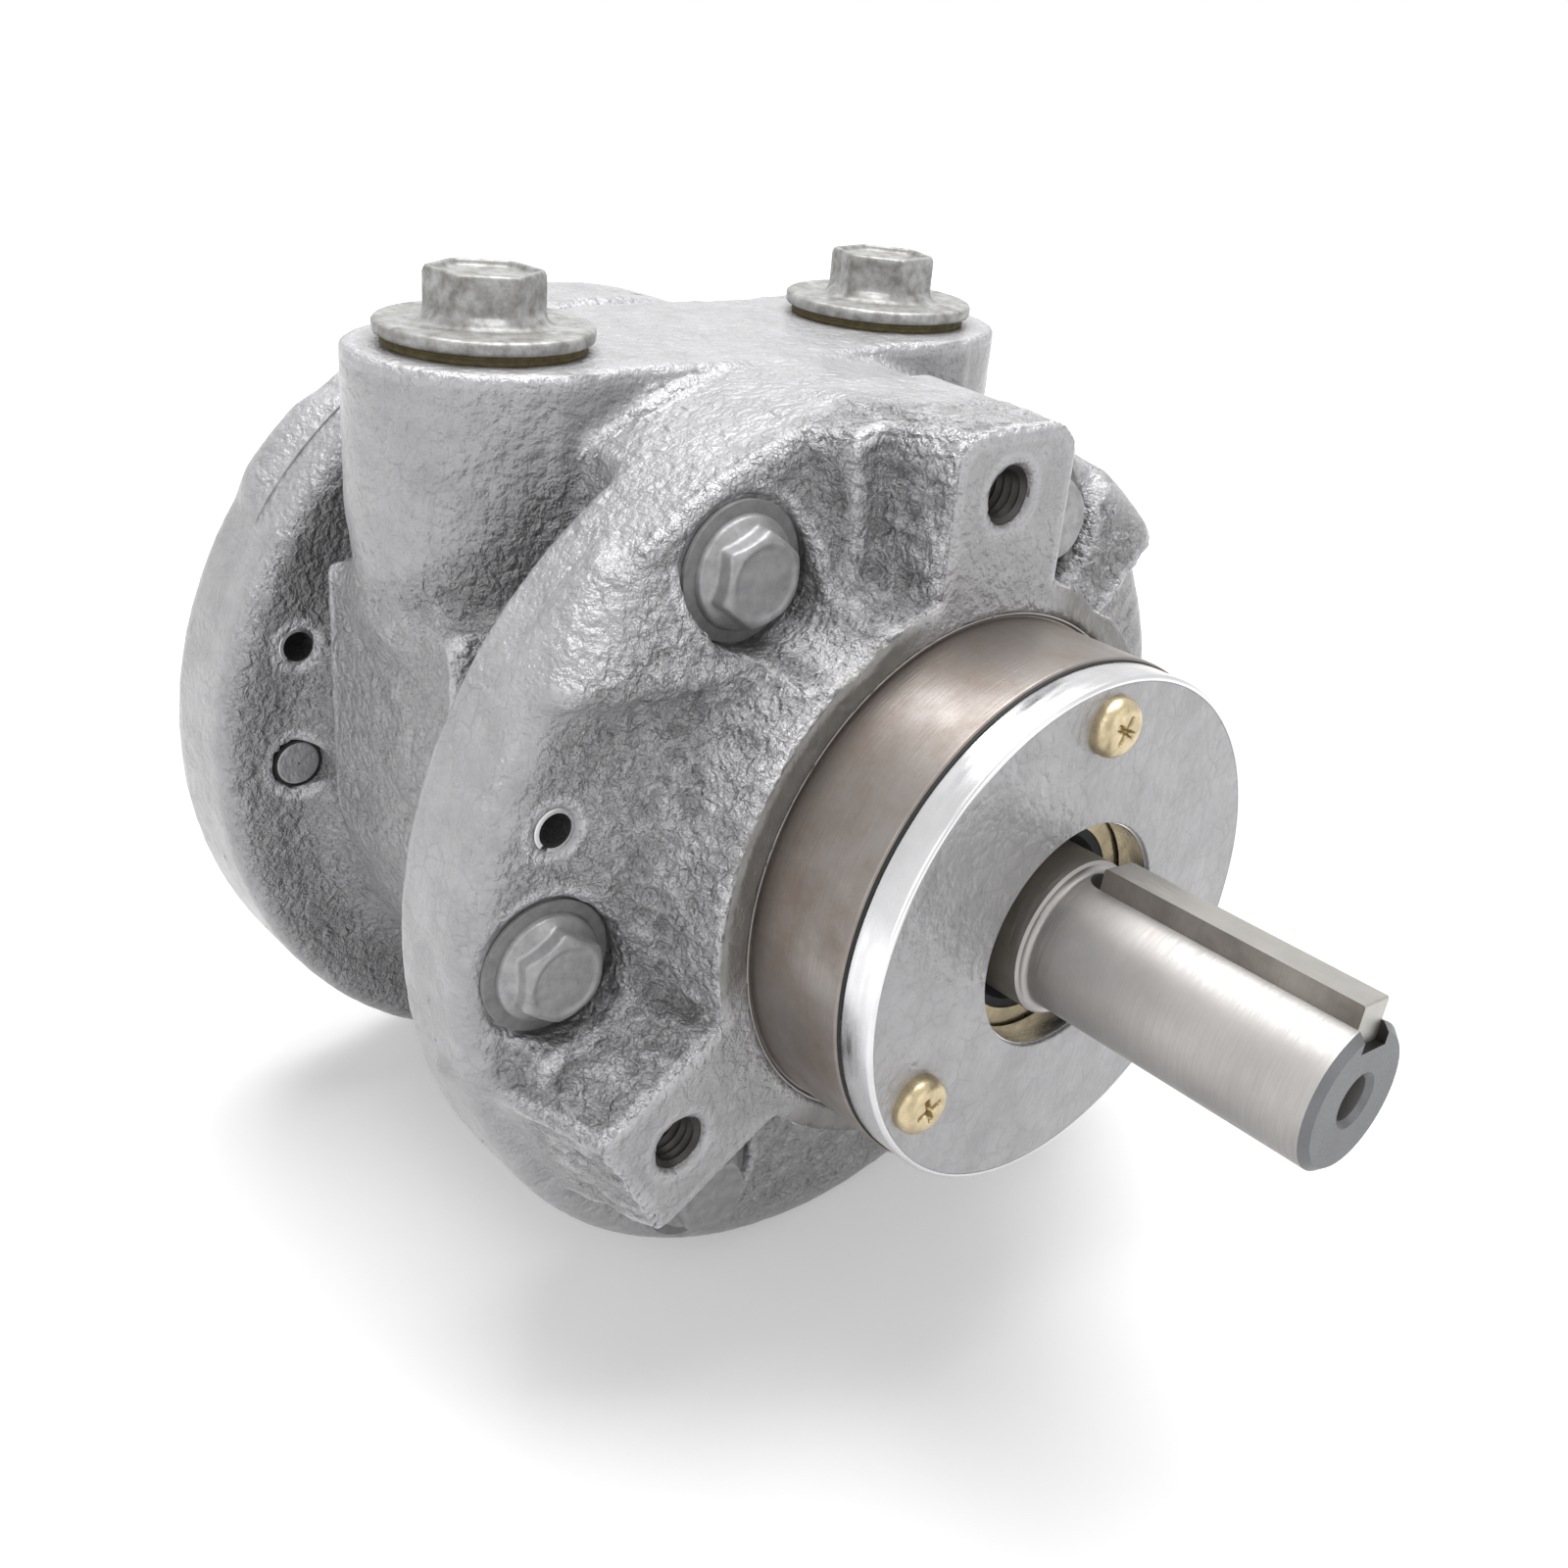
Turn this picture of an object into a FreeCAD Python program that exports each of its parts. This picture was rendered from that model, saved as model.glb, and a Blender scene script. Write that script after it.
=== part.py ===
"""Air vane motor with a flange-mounted drive end, as separate solids.

Millimetres. +X runs along the shaft towards its output end and +Z is up.
The origin is on the shaft axis, in the plane of the three mounting pads.
The housing's discs and bore share one axis that lies below the shaft axis,
which gives the vanes the crescent-shaped chamber that they work in.
"""
import FreeCAD, Part
import math
import os

Vector = FreeCAD.Vector

# Housing
bore_offset = 6.5            # the bore's axis lies this far below the shaft's
bore_radius = 50.0
barrel_wall = 8.0
flange_width = 18.0          # how far both flanges stand out from the barrel
flange_thickness = 8.8
body_length = 76.0
drive_plate_thickness = 11.6
rear_plate_thickness = 13.2
plate_round = 4.4            # large cast rounding at the plates' outer edge
edge_round = 2.6             # cast rounding at the body flanges' inner edge
root_round = 7.0             # hollow corner between barrel and flange
machined_chamfer = 0.8
past = 1.0                   # how far cutting shapes run past a face

# Ports
port_setback = 34.8          # rear joint to the ports' axis
port_y = 41.4
boss_radius = 21.5
boss_foot_z = 25.0
boss_foot_taper = 5.0
side_top_z = 33.0            # top of the cast shoulder below each boss
side_land = 1.2              # how far the shoulder stands out from the barrel
side_round = 6.0
deck_half_width = 34.0
port_thread_radius = 13.0
port_thread_depth = 17.0
port_passage_radius = 9.5
port_passage_floor_z = 6.0

# Port plugs
plug_flange_radius = 16.8
plug_flange_thickness = 2.2
plug_hex_flats = 17.0
plug_hex_height = 7.7
plug_collar_height = 0.9
plug_edge_round = 0.7
plug_bevel_height = 0.7
plug_bevel_width = 1.3
plug_turns = (32.0, 10.0)    # where each hexagon came to rest
plug_shank_length = 13.0
plug_recess_radius = 6.6
plug_recess_depth = 0.9
plug_gasket_thickness = 1.5
plug_gasket_width = 2.6
plug_gasket_gap = 0.2        # gasket to the plug's thread

# Drive end plate
pad_height = 19.2            # the mounting face stands this far off the plate
face_fall = 1.6              # the plate's face falls this much towards its rim
hub_radius = 41.4
hub_length = 17.6
ring_radius = 46.8           # machined ring around the hub, flush with the pads
hub_foot_radius = 53.5
hub_foot_round = 6.0
pad_angles = (90.0, 210.0, 330.0)
pad_half_width = 11.8
pad_flank_draft = 1.8
pad_foot_height = 6.0        # above the joint with the body, where the draft ends
pad_reach = 70.4
pad_corner = 4.5
pad_hole_circle = 60.3
pad_hole_radius = 4.25
pad_hole_depth = 19.0

# Cast lobes on both plates, around the bore's axis
lobe_angles = (43.0, 137.0)
lobe_half_width = 9.5
lobe_nose = 6.5              # rounding of a lobe's outer corners, seen from the front
lobe_inner = 34.0
lobe_crest = 55.0            # radius where a lobe is highest
drive_lobe_reach = 77.4
drive_lobe_height = 9.2
rear_lobe_reach = 77.6
rear_lobe_height = 3.4
lobe_foot = 3.0              # the lobe's rim leans out over this height
lobe_foot_round = 2.0
lobe_shoulder_round = 3.0
lobe_crest_round = 4.0

# Rear end plate
rear_boss_height = 4.2
rear_boss_radius = 30.0
rear_boss_foot = 34.0

# Bolts that hold the plates to the body
bolt_setout = 4.7            # barrel's outside to the bolts' axes
bolt_angles = (0.0, 60.0, 120.0, 180.0, 240.0, 300.0)
bolt_radius = 4.0
bolt_hole_gap = 0.35
bolt_thread_gap = 0.02
bolt_end_gap = 0.5
spotface_radius = 10.6
drive_spotface_depth = 0.9
rear_spotface_depth = 2.5
head_flange_radius = 8.6
head_flange_height = 1.2
head_flange_taper = 0.9
head_height = 5.2
head_flats = 12.7
head_bevel = 0.6             # bevel depth, as a share of corner less half the flats
head_turns = (12.0, 40.0, -8.0, -3.0, 25.0, 50.0)   # where each head came to rest

# Slotted spring dowels
dowel_setout = 7.4           # barrel's outside to the dowels' axes
dowel_angles = (160.7, 340.7)
dowel_radius = 3.3
dowel_wall = 0.65
dowel_slot = 1.1
dowel_depth = 1.8            # below the plates' outer face
dowel_end_gap = 0.4

# Shaft cover
cover_radius = 40.9
cover_thickness = 5.8
cover_hole_radius = 18.0
cover_gasket = 0.3
cover_gasket_inset = 0.7
cover_edge_round = 0.5
cover_screw_circle = 34.3
cover_screw_radius = 2.5
cover_screw_length = 14.0
screw_head_radius = 4.5
screw_head_height = 2.9
screw_head_side = 1.0        # upright part of the head
screw_head_taper = 0.6
screw_head_round = 2.0
screw_cross_width = 1.1
screw_cross_length = 4.6
screw_cross_depth = 1.6
screw_hole_gap = 0.3

# Shaft and key
shaft_radius = 11.0
shaft_projection = 71.3      # mounting face to shaft end
shaft_neck_end = 24.4
shaft_chamfer = 1.1
shaft_root_round = 0.8
neck_chamfer = 0.4
tail_chamfer = 0.5
rotor_seat_radius = 14.0
rear_shoulder_radius = 11.0
shaft_gap = 0.08             # radial running gap in both plates
centre_hole_radius = 3.4
centre_hole_depth = 18.0
centre_countersink = 0.8
key_angle = 84.0
key_width = 6.0
key_height = 6.3
key_floor = 7.7              # keyway floor, from the shaft axis
key_start = 28.4
key_end_gap = 1.4
keyway_lead = 0.3
key_edge = 0.4

# Rotor and vanes
rotor_gap = 0.3              # rotor to bore at the closest point
rotor_side_gap = 0.3
vane_count = 4
vane_thickness = 4.8
vane_height = 19.0
vane_slot_gap = 0.1
vane_slot_floor = 0.6
vane_inset = 0.3
first_vane_angle = 0.0
vane_tip_round = 1.6
relief_depth = 2.0           # dished ends of the rotor
relief_inner = 18.0
relief_outer = 21.5

# Bearings: bore radius, outer radius, width, ball radius, ball count
drive_bearing = (12.5, 26.0, 15.0, 3.97, 9)
rear_bearing = (8.5, 20.0, 12.0, 3.37, 8)
race_groove_gap = 0.12
race_shoulder = 0.82         # groove shoulder height, as a share of the ball radius
cage_thickness = 1.6
cage_side = 1.3
cage_pocket_gap = 0.2
bearing_end_gap = 0.3
race_edge = 0.6

# Shaft seal
seal_width = 8.0
seal_case_wall = 1.0
seal_lip_outer = 15.2
seal_lip_gap = 0.06
seal_lip_root = 2.2
seal_front_gap = 0.3
seal_case_round = 0.6
seal_lip_start = 1.0         # lip to the case's rear edge
seal_lip_thickness = 2.4     # at its free edge
seal_lip_waist = 1.6         # where it joins its root
seal_lip_edge = 0.8
seal_lip_overlap = 4.0       # how far its root runs behind the case's front wall
seal_lip_front_gap = 0.3
seal_lip_front = 1.2         # dust lip, from the shaft

# Rear end cap and its seal ring
cap_radius = 24.0
cap_thickness = 2.2
cap_dish_depth = 0.9
cap_dish_radius = 17.0
cap_ring_section = 1.4
cap_fit_gap = 0.05
cap_edge_round = 0.4
cap_dish_slope = 2.5
cap_groove_inset = 1.0       # groove to the bearing's outer radius
cap_groove_gap = 0.1

# Stations along the shaft and derived sizes
bore_z = -bore_offset
barrel_radius = bore_radius + barrel_wall
flange_radius = barrel_radius + flange_width
bolt_circle = barrel_radius + bolt_setout
dowel_circle = barrel_radius + dowel_setout
boss_top_z = bore_z + flange_radius
drive_face_x = -pad_height
drive_joint_x = drive_face_x - drive_plate_thickness
rear_joint_x = drive_joint_x - body_length
port_x = rear_joint_x + port_setback
rear_face_x = rear_joint_x - rear_plate_thickness
rear_boss_x = rear_face_x - rear_boss_height
cover_back_x = hub_length + cover_gasket
cover_front_x = cover_back_x + cover_thickness
seal_front_x = hub_length - seal_front_gap
seal_back_x = seal_front_x - seal_width
drive_bearing_front_x = seal_back_x - bearing_end_gap
drive_bearing_back_x = drive_bearing_front_x - drive_bearing[2]
cap_back_x = rear_boss_x + cap_thickness
rear_bearing_rear_x = cap_back_x + bearing_end_gap
rear_bearing_front_x = rear_bearing_rear_x + rear_bearing[2]
rotor_radius = bore_radius - bore_offset - rotor_gap
rotor_front_x = drive_joint_x - rotor_side_gap
rotor_rear_x = rear_joint_x + rotor_side_gap
vane_tip_radius = rotor_radius - vane_inset
plug_seat_z = boss_top_z + plug_gasket_thickness


def cyl_x(radius, x0, x1, y=0.0, z=0.0):
    """Cylinder along X."""
    return Part.makeCylinder(radius, x1 - x0, Vector(x0, y, z), Vector(1, 0, 0))


def cyl_z(radius, z0, z1, x=0.0, y=0.0):
    """Cylinder along Z."""
    return Part.makeCylinder(radius, z1 - z0, Vector(x, y, z0))


def block(x0, x1, y0, y1, z0, z1):
    """Box between two corners."""
    return Part.makeBox(x1 - x0, y1 - y0, z1 - z0, Vector(x0, y0, z0))


def ring_x(outer, inner, x0, x1, z=0.0):
    """Ring along X."""
    return cyl_x(outer, x0, x1, z=z).cut(cyl_x(inner, x0 - past, x1 + past, z=z))


def polar(radius, angle, z=0.0):
    """Y and Z of a point on a circle in the plane across the shaft."""
    turn = math.radians(angle)
    return radius * math.cos(turn), z + radius * math.sin(turn)


def outline(corners, place):
    """Closed wire through corners (a, b, radius), each rounded by its radius."""
    stops = []
    for i, (a, b, radius) in enumerate(corners):
        here = Vector(a, b, 0)
        if radius == 0:
            stops.append((here, here, None))
            continue
        back = Vector(*corners[i - 1][:2], 0) - here
        ahead = Vector(*corners[(i + 1) % len(corners)][:2], 0) - here
        half = back.getAngle(ahead) / 2
        back.normalize()
        ahead.normalize()
        reach = radius / math.tan(half)
        middle = (back + ahead).normalize() * (radius / math.sin(half) - radius)
        stops.append((here + back * reach, here + ahead * reach, here + middle))
    edges = []
    for i, (enter, leave, middle) in enumerate(stops):
        if middle is not None:
            edges.append(Part.Arc(place(enter), place(middle), place(leave)).toShape())
        following = stops[(i + 1) % len(stops)][0]
        if leave.distanceToPoint(following) > 1e-6:
            edges.append(Part.makeLine(place(leave), place(following)))
    return Part.Wire(edges)


def turned(corners, z=0.0):
    """Solid turned about an axis along X from a profile of (x, radius, rounding)."""
    wire = outline(corners, lambda p: Vector(p.x, 0, z + p.y))
    return Part.Face(wire).revolve(Vector(0, 0, z), Vector(1, 0, 0), 360)


def hexagon_x(flats, x0, x1, y, z, turn):
    """Hexagonal prism along X with one corner at an angle."""
    corner = flats / math.sqrt(3)
    points = []
    for k in range(7):
        dy, dz = polar(corner, 60 * k + turn)
        points.append(Vector(x0, y + dy, z + dz))
    return Part.Face(Part.makePolygon(points)).extrude(Vector(x1 - x0, 0, 0))


def bore_pattern(circle, angles):
    """Y and Z of holes on a circle round the bore's axis."""
    return [polar(circle, angle, bore_z) for angle in angles]


def deck(x0, x1):
    """Cast deck on top of the barrel, level with the flanges' rims."""
    rim = cyl_x(flange_radius, x0, x1, z=bore_z)
    return rim.common(block(x0, x1, -deck_half_width, deck_half_width, 0, boss_top_z))


def body_core():
    """Barrel without its bore, with the deck, the shoulders and both port bosses."""
    bridge = block(port_x - boss_radius, port_x + boss_radius, -port_y, port_y, 0, boss_top_z)
    side_y = barrel_radius + side_land
    shoulder_wire = outline([
        (-side_y, bore_z, 0), (-side_y, side_top_z, side_round),
        (side_y, side_top_z, side_round), (side_y, bore_z, 0),
    ], lambda p: Vector(port_x - boss_radius, p.x, p.y))
    shoulder = Part.Face(shoulder_wire).extrude(Vector(2 * boss_radius, 0, 0))
    solids = [deck(rear_joint_x + flange_thickness, drive_joint_x - flange_thickness),
              bridge, shoulder]
    for side in (-1, 1):
        y = side * port_y
        solids.append(cyl_z(boss_radius, boss_foot_z + boss_foot_taper, boss_top_z, port_x, y))
        solids.append(Part.makeCone(boss_radius - boss_foot_taper, boss_radius, boss_foot_taper,
                                    Vector(port_x, y, boss_foot_z)))
    return cyl_x(barrel_radius, rear_joint_x, drive_joint_x, z=bore_z).fuse(solids)


def motor_body():
    """Cast barrel with the rotor's bore, both port bosses and their passages."""
    cuts = [cyl_x(bore_radius, rear_joint_x - past, drive_joint_x + past, z=bore_z)]
    for side in (-1, 1):
        y = side * port_y
        cuts.append(cyl_z(port_thread_radius, boss_top_z - port_thread_depth,
                          boss_top_z + past, port_x, y))
        cuts.append(cyl_z(port_passage_radius, port_passage_floor_z, boss_top_z, port_x, y))
    return body_core().cut(cuts).removeSplitter()


def body_flange(joint_x):
    """Round flange at one end of the barrel, blended into it by a hollow corner."""
    inward = -1 if joint_x == drive_joint_x else 1
    inner = joint_x + inward * flange_thickness
    flange = turned([
        (joint_x, barrel_radius, 0), (joint_x, flange_radius, 0),
        (inner, flange_radius, edge_round), (inner, barrel_radius, root_round),
        (inner + inward * root_round, barrel_radius, 0),
    ], bore_z)
    flange = flange.fuse(deck(*sorted((joint_x, inner)))).cut(body_core())
    cuts = []
    x0, x1 = sorted((joint_x - inward * past, inner + inward * past))
    for y, z in bore_pattern(bolt_circle, bolt_angles):
        cuts.append(cyl_x(bolt_radius + bolt_thread_gap, x0, x1, y, z))
    for y, z in bore_pattern(dowel_circle, dowel_angles):
        cuts.append(cyl_x(dowel_radius, x0, x1, y, z))
    return flange.cut(cuts).removeSplitter()


def plate_holes(joint_x, face_x, depth):
    """Bolt holes, spotfaces and dowel holes of one end plate."""
    outward = 1 if face_x > joint_x else -1
    inside = joint_x - outward * past
    seat = face_x - outward * depth
    beyond = face_x + outward * 2 * pad_height
    cuts = []
    for y, z in bore_pattern(bolt_circle, bolt_angles):
        cuts.append(cyl_x(bolt_radius + bolt_hole_gap, *sorted((inside, seat)), y, z))
        cuts.append(cyl_x(spotface_radius, *sorted((seat, beyond)), y, z))
    for y, z in bore_pattern(dowel_circle, dowel_angles):
        cuts.append(cyl_x(dowel_radius, *sorted((inside, beyond)), y, z))
    return cuts


def plate_lobes(joint_x, face_x, height, reach):
    """Rounded cast lobes that run from the middle of a plate out to its rim."""
    outward = 1 if face_x > joint_x else -1
    top = face_x + outward * height
    profile = [
        (joint_x, lobe_inner, 0),
        (joint_x, reach - lobe_foot, 0),
        (joint_x + outward * lobe_foot, reach, lobe_foot_round),
        (face_x - outward * face_fall, reach, lobe_shoulder_round),
        (top, lobe_crest, lobe_crest_round),
        (top, lobe_inner, 0),
    ]
    plan = outline([
        (lobe_inner, -lobe_half_width, 0), (reach, -lobe_half_width, lobe_nose),
        (reach, lobe_half_width, lobe_nose), (lobe_inner, lobe_half_width, 0),
    ], lambda p: Vector(min(joint_x, top) - past, p.x, p.y))
    nose = Part.Face(plan).extrude(Vector(abs(top - joint_x) + 2 * past, 0, 0))
    side = Part.Face(outline(profile, lambda p: Vector(p.x, p.y, -lobe_half_width)))
    lobe = side.extrude(Vector(0, 0, 2 * lobe_half_width)).common(nose)
    lobes = []
    for angle in lobe_angles:
        turned_lobe = lobe.copy()
        turned_lobe.rotate(Vector(0, 0, 0), Vector(1, 0, 0), angle)
        turned_lobe.translate(Vector(0, 0, bore_z))
        lobes.append(turned_lobe)
    return lobes


def mounting_pad(angle):
    """One mounting pad with drafted flanks, from below the plate's face to the mounting face."""
    turn = math.radians(angle)
    out = Vector(0, math.cos(turn), math.sin(turn))
    across = Vector(0, -math.sin(turn), math.cos(turn))
    wires = []
    for x, half_width in ((drive_joint_x + pad_foot_height, pad_half_width + pad_flank_draft),
                          (0.0, pad_half_width)):
        wires.append(outline([
            (lobe_inner, -half_width, 0), (pad_reach, -half_width, pad_corner),
            (pad_reach, half_width, pad_corner), (lobe_inner, half_width, 0),
        ], lambda p, x=x: Vector(x, 0, 0) + out * p.x + across * p.y))
    return Part.makeLoft(wires, True, True)


def drive_end_plate():
    """Cast end plate with the machined hub, three mounting pads and the bearing pocket."""
    disc = turned([
        (drive_joint_x, 0, 0), (drive_joint_x, flange_radius, 0),
        (drive_face_x - face_fall, flange_radius, plate_round),
        (drive_face_x, hub_foot_radius, 0), (drive_face_x, 0, 0),
    ], bore_z)
    foot_reach = hub_foot_radius + hub_foot_round + past
    hub = turned([
        (drive_joint_x + past, 0, 0), (drive_joint_x + past, foot_reach, 0),
        (drive_face_x, foot_reach, 0),
        (drive_face_x, hub_foot_radius, hub_foot_round),
        (0, ring_radius, machined_chamfer), (0, hub_radius, 0),
        (hub_length - machined_chamfer, hub_radius, 0),
        (hub_length, hub_radius - machined_chamfer, 0), (hub_length, 0, 0),
    ])
    parts = [hub] + [mounting_pad(angle) for angle in pad_angles]
    parts += plate_lobes(drive_joint_x, drive_face_x, drive_lobe_height, drive_lobe_reach)
    plate = disc.fuse(parts)
    cuts = plate_holes(drive_joint_x, drive_face_x, drive_spotface_depth)
    cuts.append(cyl_x(rotor_seat_radius + shaft_gap, drive_joint_x - past, 0))
    cuts.append(cyl_x(drive_bearing[1], drive_bearing_back_x, hub_length + past))
    for angle in pad_angles:
        y, z = polar(pad_hole_circle, angle)
        cuts.append(cyl_x(pad_hole_radius, -pad_hole_depth, past, y, z))
        y, z = polar(cover_screw_circle, angle)
        cuts.append(cyl_x(cover_screw_radius, cover_front_x - cover_screw_length - past,
                          hub_length + past, y, z))
    return plate.cut(cuts).removeSplitter()


def rear_end_plate():
    """Cast rear plate with a low round boss that holds the rear bearing and its cap."""
    disc = turned([
        (rear_joint_x, 0, 0), (rear_joint_x, flange_radius, 0),
        (rear_face_x, flange_radius, plate_round), (rear_face_x, 0, 0),
    ], bore_z)
    boss = turned([
        (rear_joint_x, 0, 0), (rear_joint_x, rear_boss_foot, 0), (rear_face_x, rear_boss_foot, 0),
        (rear_boss_x, rear_boss_radius, machined_chamfer), (rear_boss_x, 0, 0),
    ])
    lobes = plate_lobes(rear_joint_x, rear_face_x, rear_lobe_height, rear_lobe_reach)
    plate = disc.fuse([boss] + lobes)
    cuts = plate_holes(rear_joint_x, rear_face_x, rear_spotface_depth)
    cuts.append(cyl_x(rear_shoulder_radius + shaft_gap, rear_bearing_front_x - past,
                      rear_joint_x + past))
    cuts.append(cyl_x(rear_bearing[1], rear_boss_x - past, rear_bearing_front_x))
    cuts.append(cyl_x(cap_radius, rear_boss_x - past, cap_back_x))
    return plate.cut(cuts).removeSplitter()


def plate_bolt(y, z, seat, joint_x, turn):
    """Hexagon bolt with a round flange under its head."""
    outward = 1 if seat > joint_x else -1
    end = joint_x - outward * (flange_thickness - bolt_end_gap)
    corner = head_flats / math.sqrt(3)
    shank = cyl_x(bolt_radius, min(seat, end), max(seat, end), y, z)
    flange = Part.makeCone(head_flange_radius, head_flange_radius - head_flange_taper,
                           head_flange_height, Vector(seat, y, z), Vector(outward, 0, 0))
    top = seat + outward * head_height
    head = hexagon_x(head_flats, *sorted((seat, top)), y, z, turn)
    bevel_depth = (corner - head_flats / 2) * head_bevel
    bevel = cyl_x(corner + past, *sorted((seat, top - outward * bevel_depth)), y, z)
    bevel = bevel.fuse(Part.makeCone(corner, corner - 2 * bevel_depth, bevel_depth,
                                     Vector(top - outward * bevel_depth, y, z),
                                     Vector(outward, 0, 0)))
    return shank.fuse([flange, head.common(bevel)]).removeSplitter()


def spring_dowel(y, z, face_x, joint_x):
    """Slotted tube pressed through an end plate and the body's flange."""
    outward = 1 if face_x > joint_x else -1
    start = face_x - outward * dowel_depth
    end = joint_x - outward * (flange_thickness - dowel_end_gap)
    x0, x1 = sorted((start, end))
    tube = cyl_x(dowel_radius, x0, x1, y, z)
    tube = tube.cut(cyl_x(dowel_radius - dowel_wall, x0 - past, x1 + past, y, z))
    half = dowel_slot / 2
    slot = block(x0 - past, x1 + past, y - half, y + half, z - 2 * dowel_radius, z)
    return tube.cut(slot)


def bearing_cover():
    """Turned cover plate that holds the seal and the drive bearing in the hub."""
    cover = turned([
        (cover_back_x, cover_hole_radius, 0), (cover_back_x, cover_radius, 0),
        (cover_front_x, cover_radius, cover_edge_round), (cover_front_x, cover_hole_radius, 0),
    ])
    for angle in pad_angles:
        y, z = polar(cover_screw_circle, angle)
        cover = cover.cut(cyl_x(cover_screw_radius + screw_hole_gap, cover_back_x - past,
                                cover_front_x + past, y, z))
    return cover


def cover_gasket_sheet():
    """Thin gasket between hub and cover."""
    gasket = ring_x(cover_radius - cover_gasket_inset, drive_bearing[1] + cover_gasket_inset,
                    hub_length, cover_back_x)
    for angle in pad_angles:
        y, z = polar(cover_screw_circle, angle)
        gasket = gasket.cut(cyl_x(cover_screw_radius + screw_hole_gap, hub_length - past,
                                  cover_back_x + past, y, z))
    return gasket


def cover_screw(angle):
    """Pan-head screw with a cross recess."""
    y, z = polar(cover_screw_circle, angle)
    top = cover_front_x + screw_head_height
    head = turned([
        (cover_front_x, 0, 0), (cover_front_x, screw_head_radius, 0),
        (cover_front_x + screw_head_side, screw_head_radius, 0),
        (top, screw_head_radius - screw_head_taper, screw_head_round),
        (top, 0, 0),
    ])
    head.translate(Vector(0, y, z))
    arm = screw_cross_length / 2
    half = screw_cross_width / 2
    floor = top - screw_cross_depth
    cross = block(floor, top + past, y - arm, y + arm, z - half, z + half)
    cross = cross.fuse(block(floor, top + past, y - half, y + half, z - arm, z + arm))
    shank = cyl_x(cover_screw_radius, cover_front_x - cover_screw_length, cover_front_x, y, z)
    return shank.fuse(head.cut(cross)).removeSplitter()


def port_plug(side, turn):
    """Hexagon-head plug with a wide flange, closing one port."""
    y = side * port_y
    flange_top = plug_seat_z + plug_flange_thickness
    hex_top = flange_top + plug_hex_height
    corner = plug_hex_flats / math.sqrt(3)
    shank = cyl_z(port_thread_radius - bolt_thread_gap, plug_seat_z - plug_shank_length,
                  plug_seat_z, port_x, y)
    flange = cyl_z(plug_flange_radius, plug_seat_z, flange_top, port_x, y)
    rim = [edge for edge in flange.Edges if abs(edge.BoundBox.ZMin - flange_top) < 1e-6]
    flange = flange.makeFillet(plug_edge_round, rim)
    collar = Part.makeCone(corner + plug_collar_height, corner, plug_collar_height,
                           Vector(port_x, y, flange_top))
    points = []
    for k in range(7):
        dx, dy = polar(corner, 60 * k + turn)
        points.append(Vector(port_x + dx, y + dy, flange_top))
    head = Part.Face(Part.makePolygon(points)).extrude(Vector(0, 0, plug_hex_height))
    bevel_z = hex_top - plug_bevel_height
    bevel = cyl_z(corner + past, flange_top, bevel_z, port_x, y)
    bevel = bevel.fuse(Part.makeCone(corner, corner - plug_bevel_width, plug_bevel_height,
                                     Vector(port_x, y, bevel_z)))
    recess = cyl_z(plug_recess_radius, hex_top - plug_recess_depth, hex_top + past, port_x, y)
    head = head.common(bevel).cut(recess)
    return shank.fuse([flange, collar, head]).removeSplitter()


def plug_gasket(side):
    """Flat sealing ring under a port plug's flange."""
    inner = port_thread_radius + plug_gasket_gap
    y = side * port_y
    ring = cyl_z(inner + plug_gasket_width, boss_top_z, plug_seat_z, port_x, y)
    return ring.cut(cyl_z(inner, boss_top_z - past, plug_seat_z + past, port_x, y))


def keyed(shape, angle):
    """Turn a shape made at the top of the shaft to an angle round the shaft."""
    shape.rotate(Vector(0, 0, 0), Vector(1, 0, 0), angle - 90)
    return shape


def shaft():
    """Stepped shaft with an open keyway and a tapped centre hole in its output end."""
    turned_shaft = turned([
        (rear_bearing_rear_x, 0, 0),
        (rear_bearing_rear_x, rear_bearing[0] - tail_chamfer, 0),
        (rear_bearing_rear_x + tail_chamfer, rear_bearing[0], 0),
        (rear_bearing_front_x, rear_bearing[0], 0),
        (rear_bearing_front_x, rear_shoulder_radius, 0),
        (rotor_rear_x, rear_shoulder_radius, 0),
        (rotor_rear_x, rotor_seat_radius, 0),
        (drive_bearing_back_x, rotor_seat_radius, 0),
        (drive_bearing_back_x, drive_bearing[0], 0),
        (shaft_neck_end - neck_chamfer, drive_bearing[0], 0),
        (shaft_neck_end, drive_bearing[0] - neck_chamfer, 0),
        (shaft_neck_end, shaft_radius, shaft_root_round),
        (shaft_projection - shaft_chamfer, shaft_radius, 0),
        (shaft_projection, shaft_radius - shaft_chamfer, 0),
        (shaft_projection, 0, 0),
    ])
    centre = cyl_x(centre_hole_radius, shaft_projection - centre_hole_depth,
                   shaft_projection + past)
    centre = centre.fuse(Part.makeCone(centre_hole_radius, centre_hole_radius + centre_countersink,
                                       centre_countersink,
                                       Vector(shaft_projection - centre_countersink, 0, 0),
                                       Vector(1, 0, 0)))
    half = key_width / 2
    start = key_start - keyway_lead
    slot = block(start, shaft_projection + past, -half, half, key_floor, shaft_radius + past)
    slot = slot.fuse(cyl_z(half, key_floor, shaft_radius + past, start, 0))
    return turned_shaft.cut([centre, keyed(slot, key_angle)])


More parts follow.
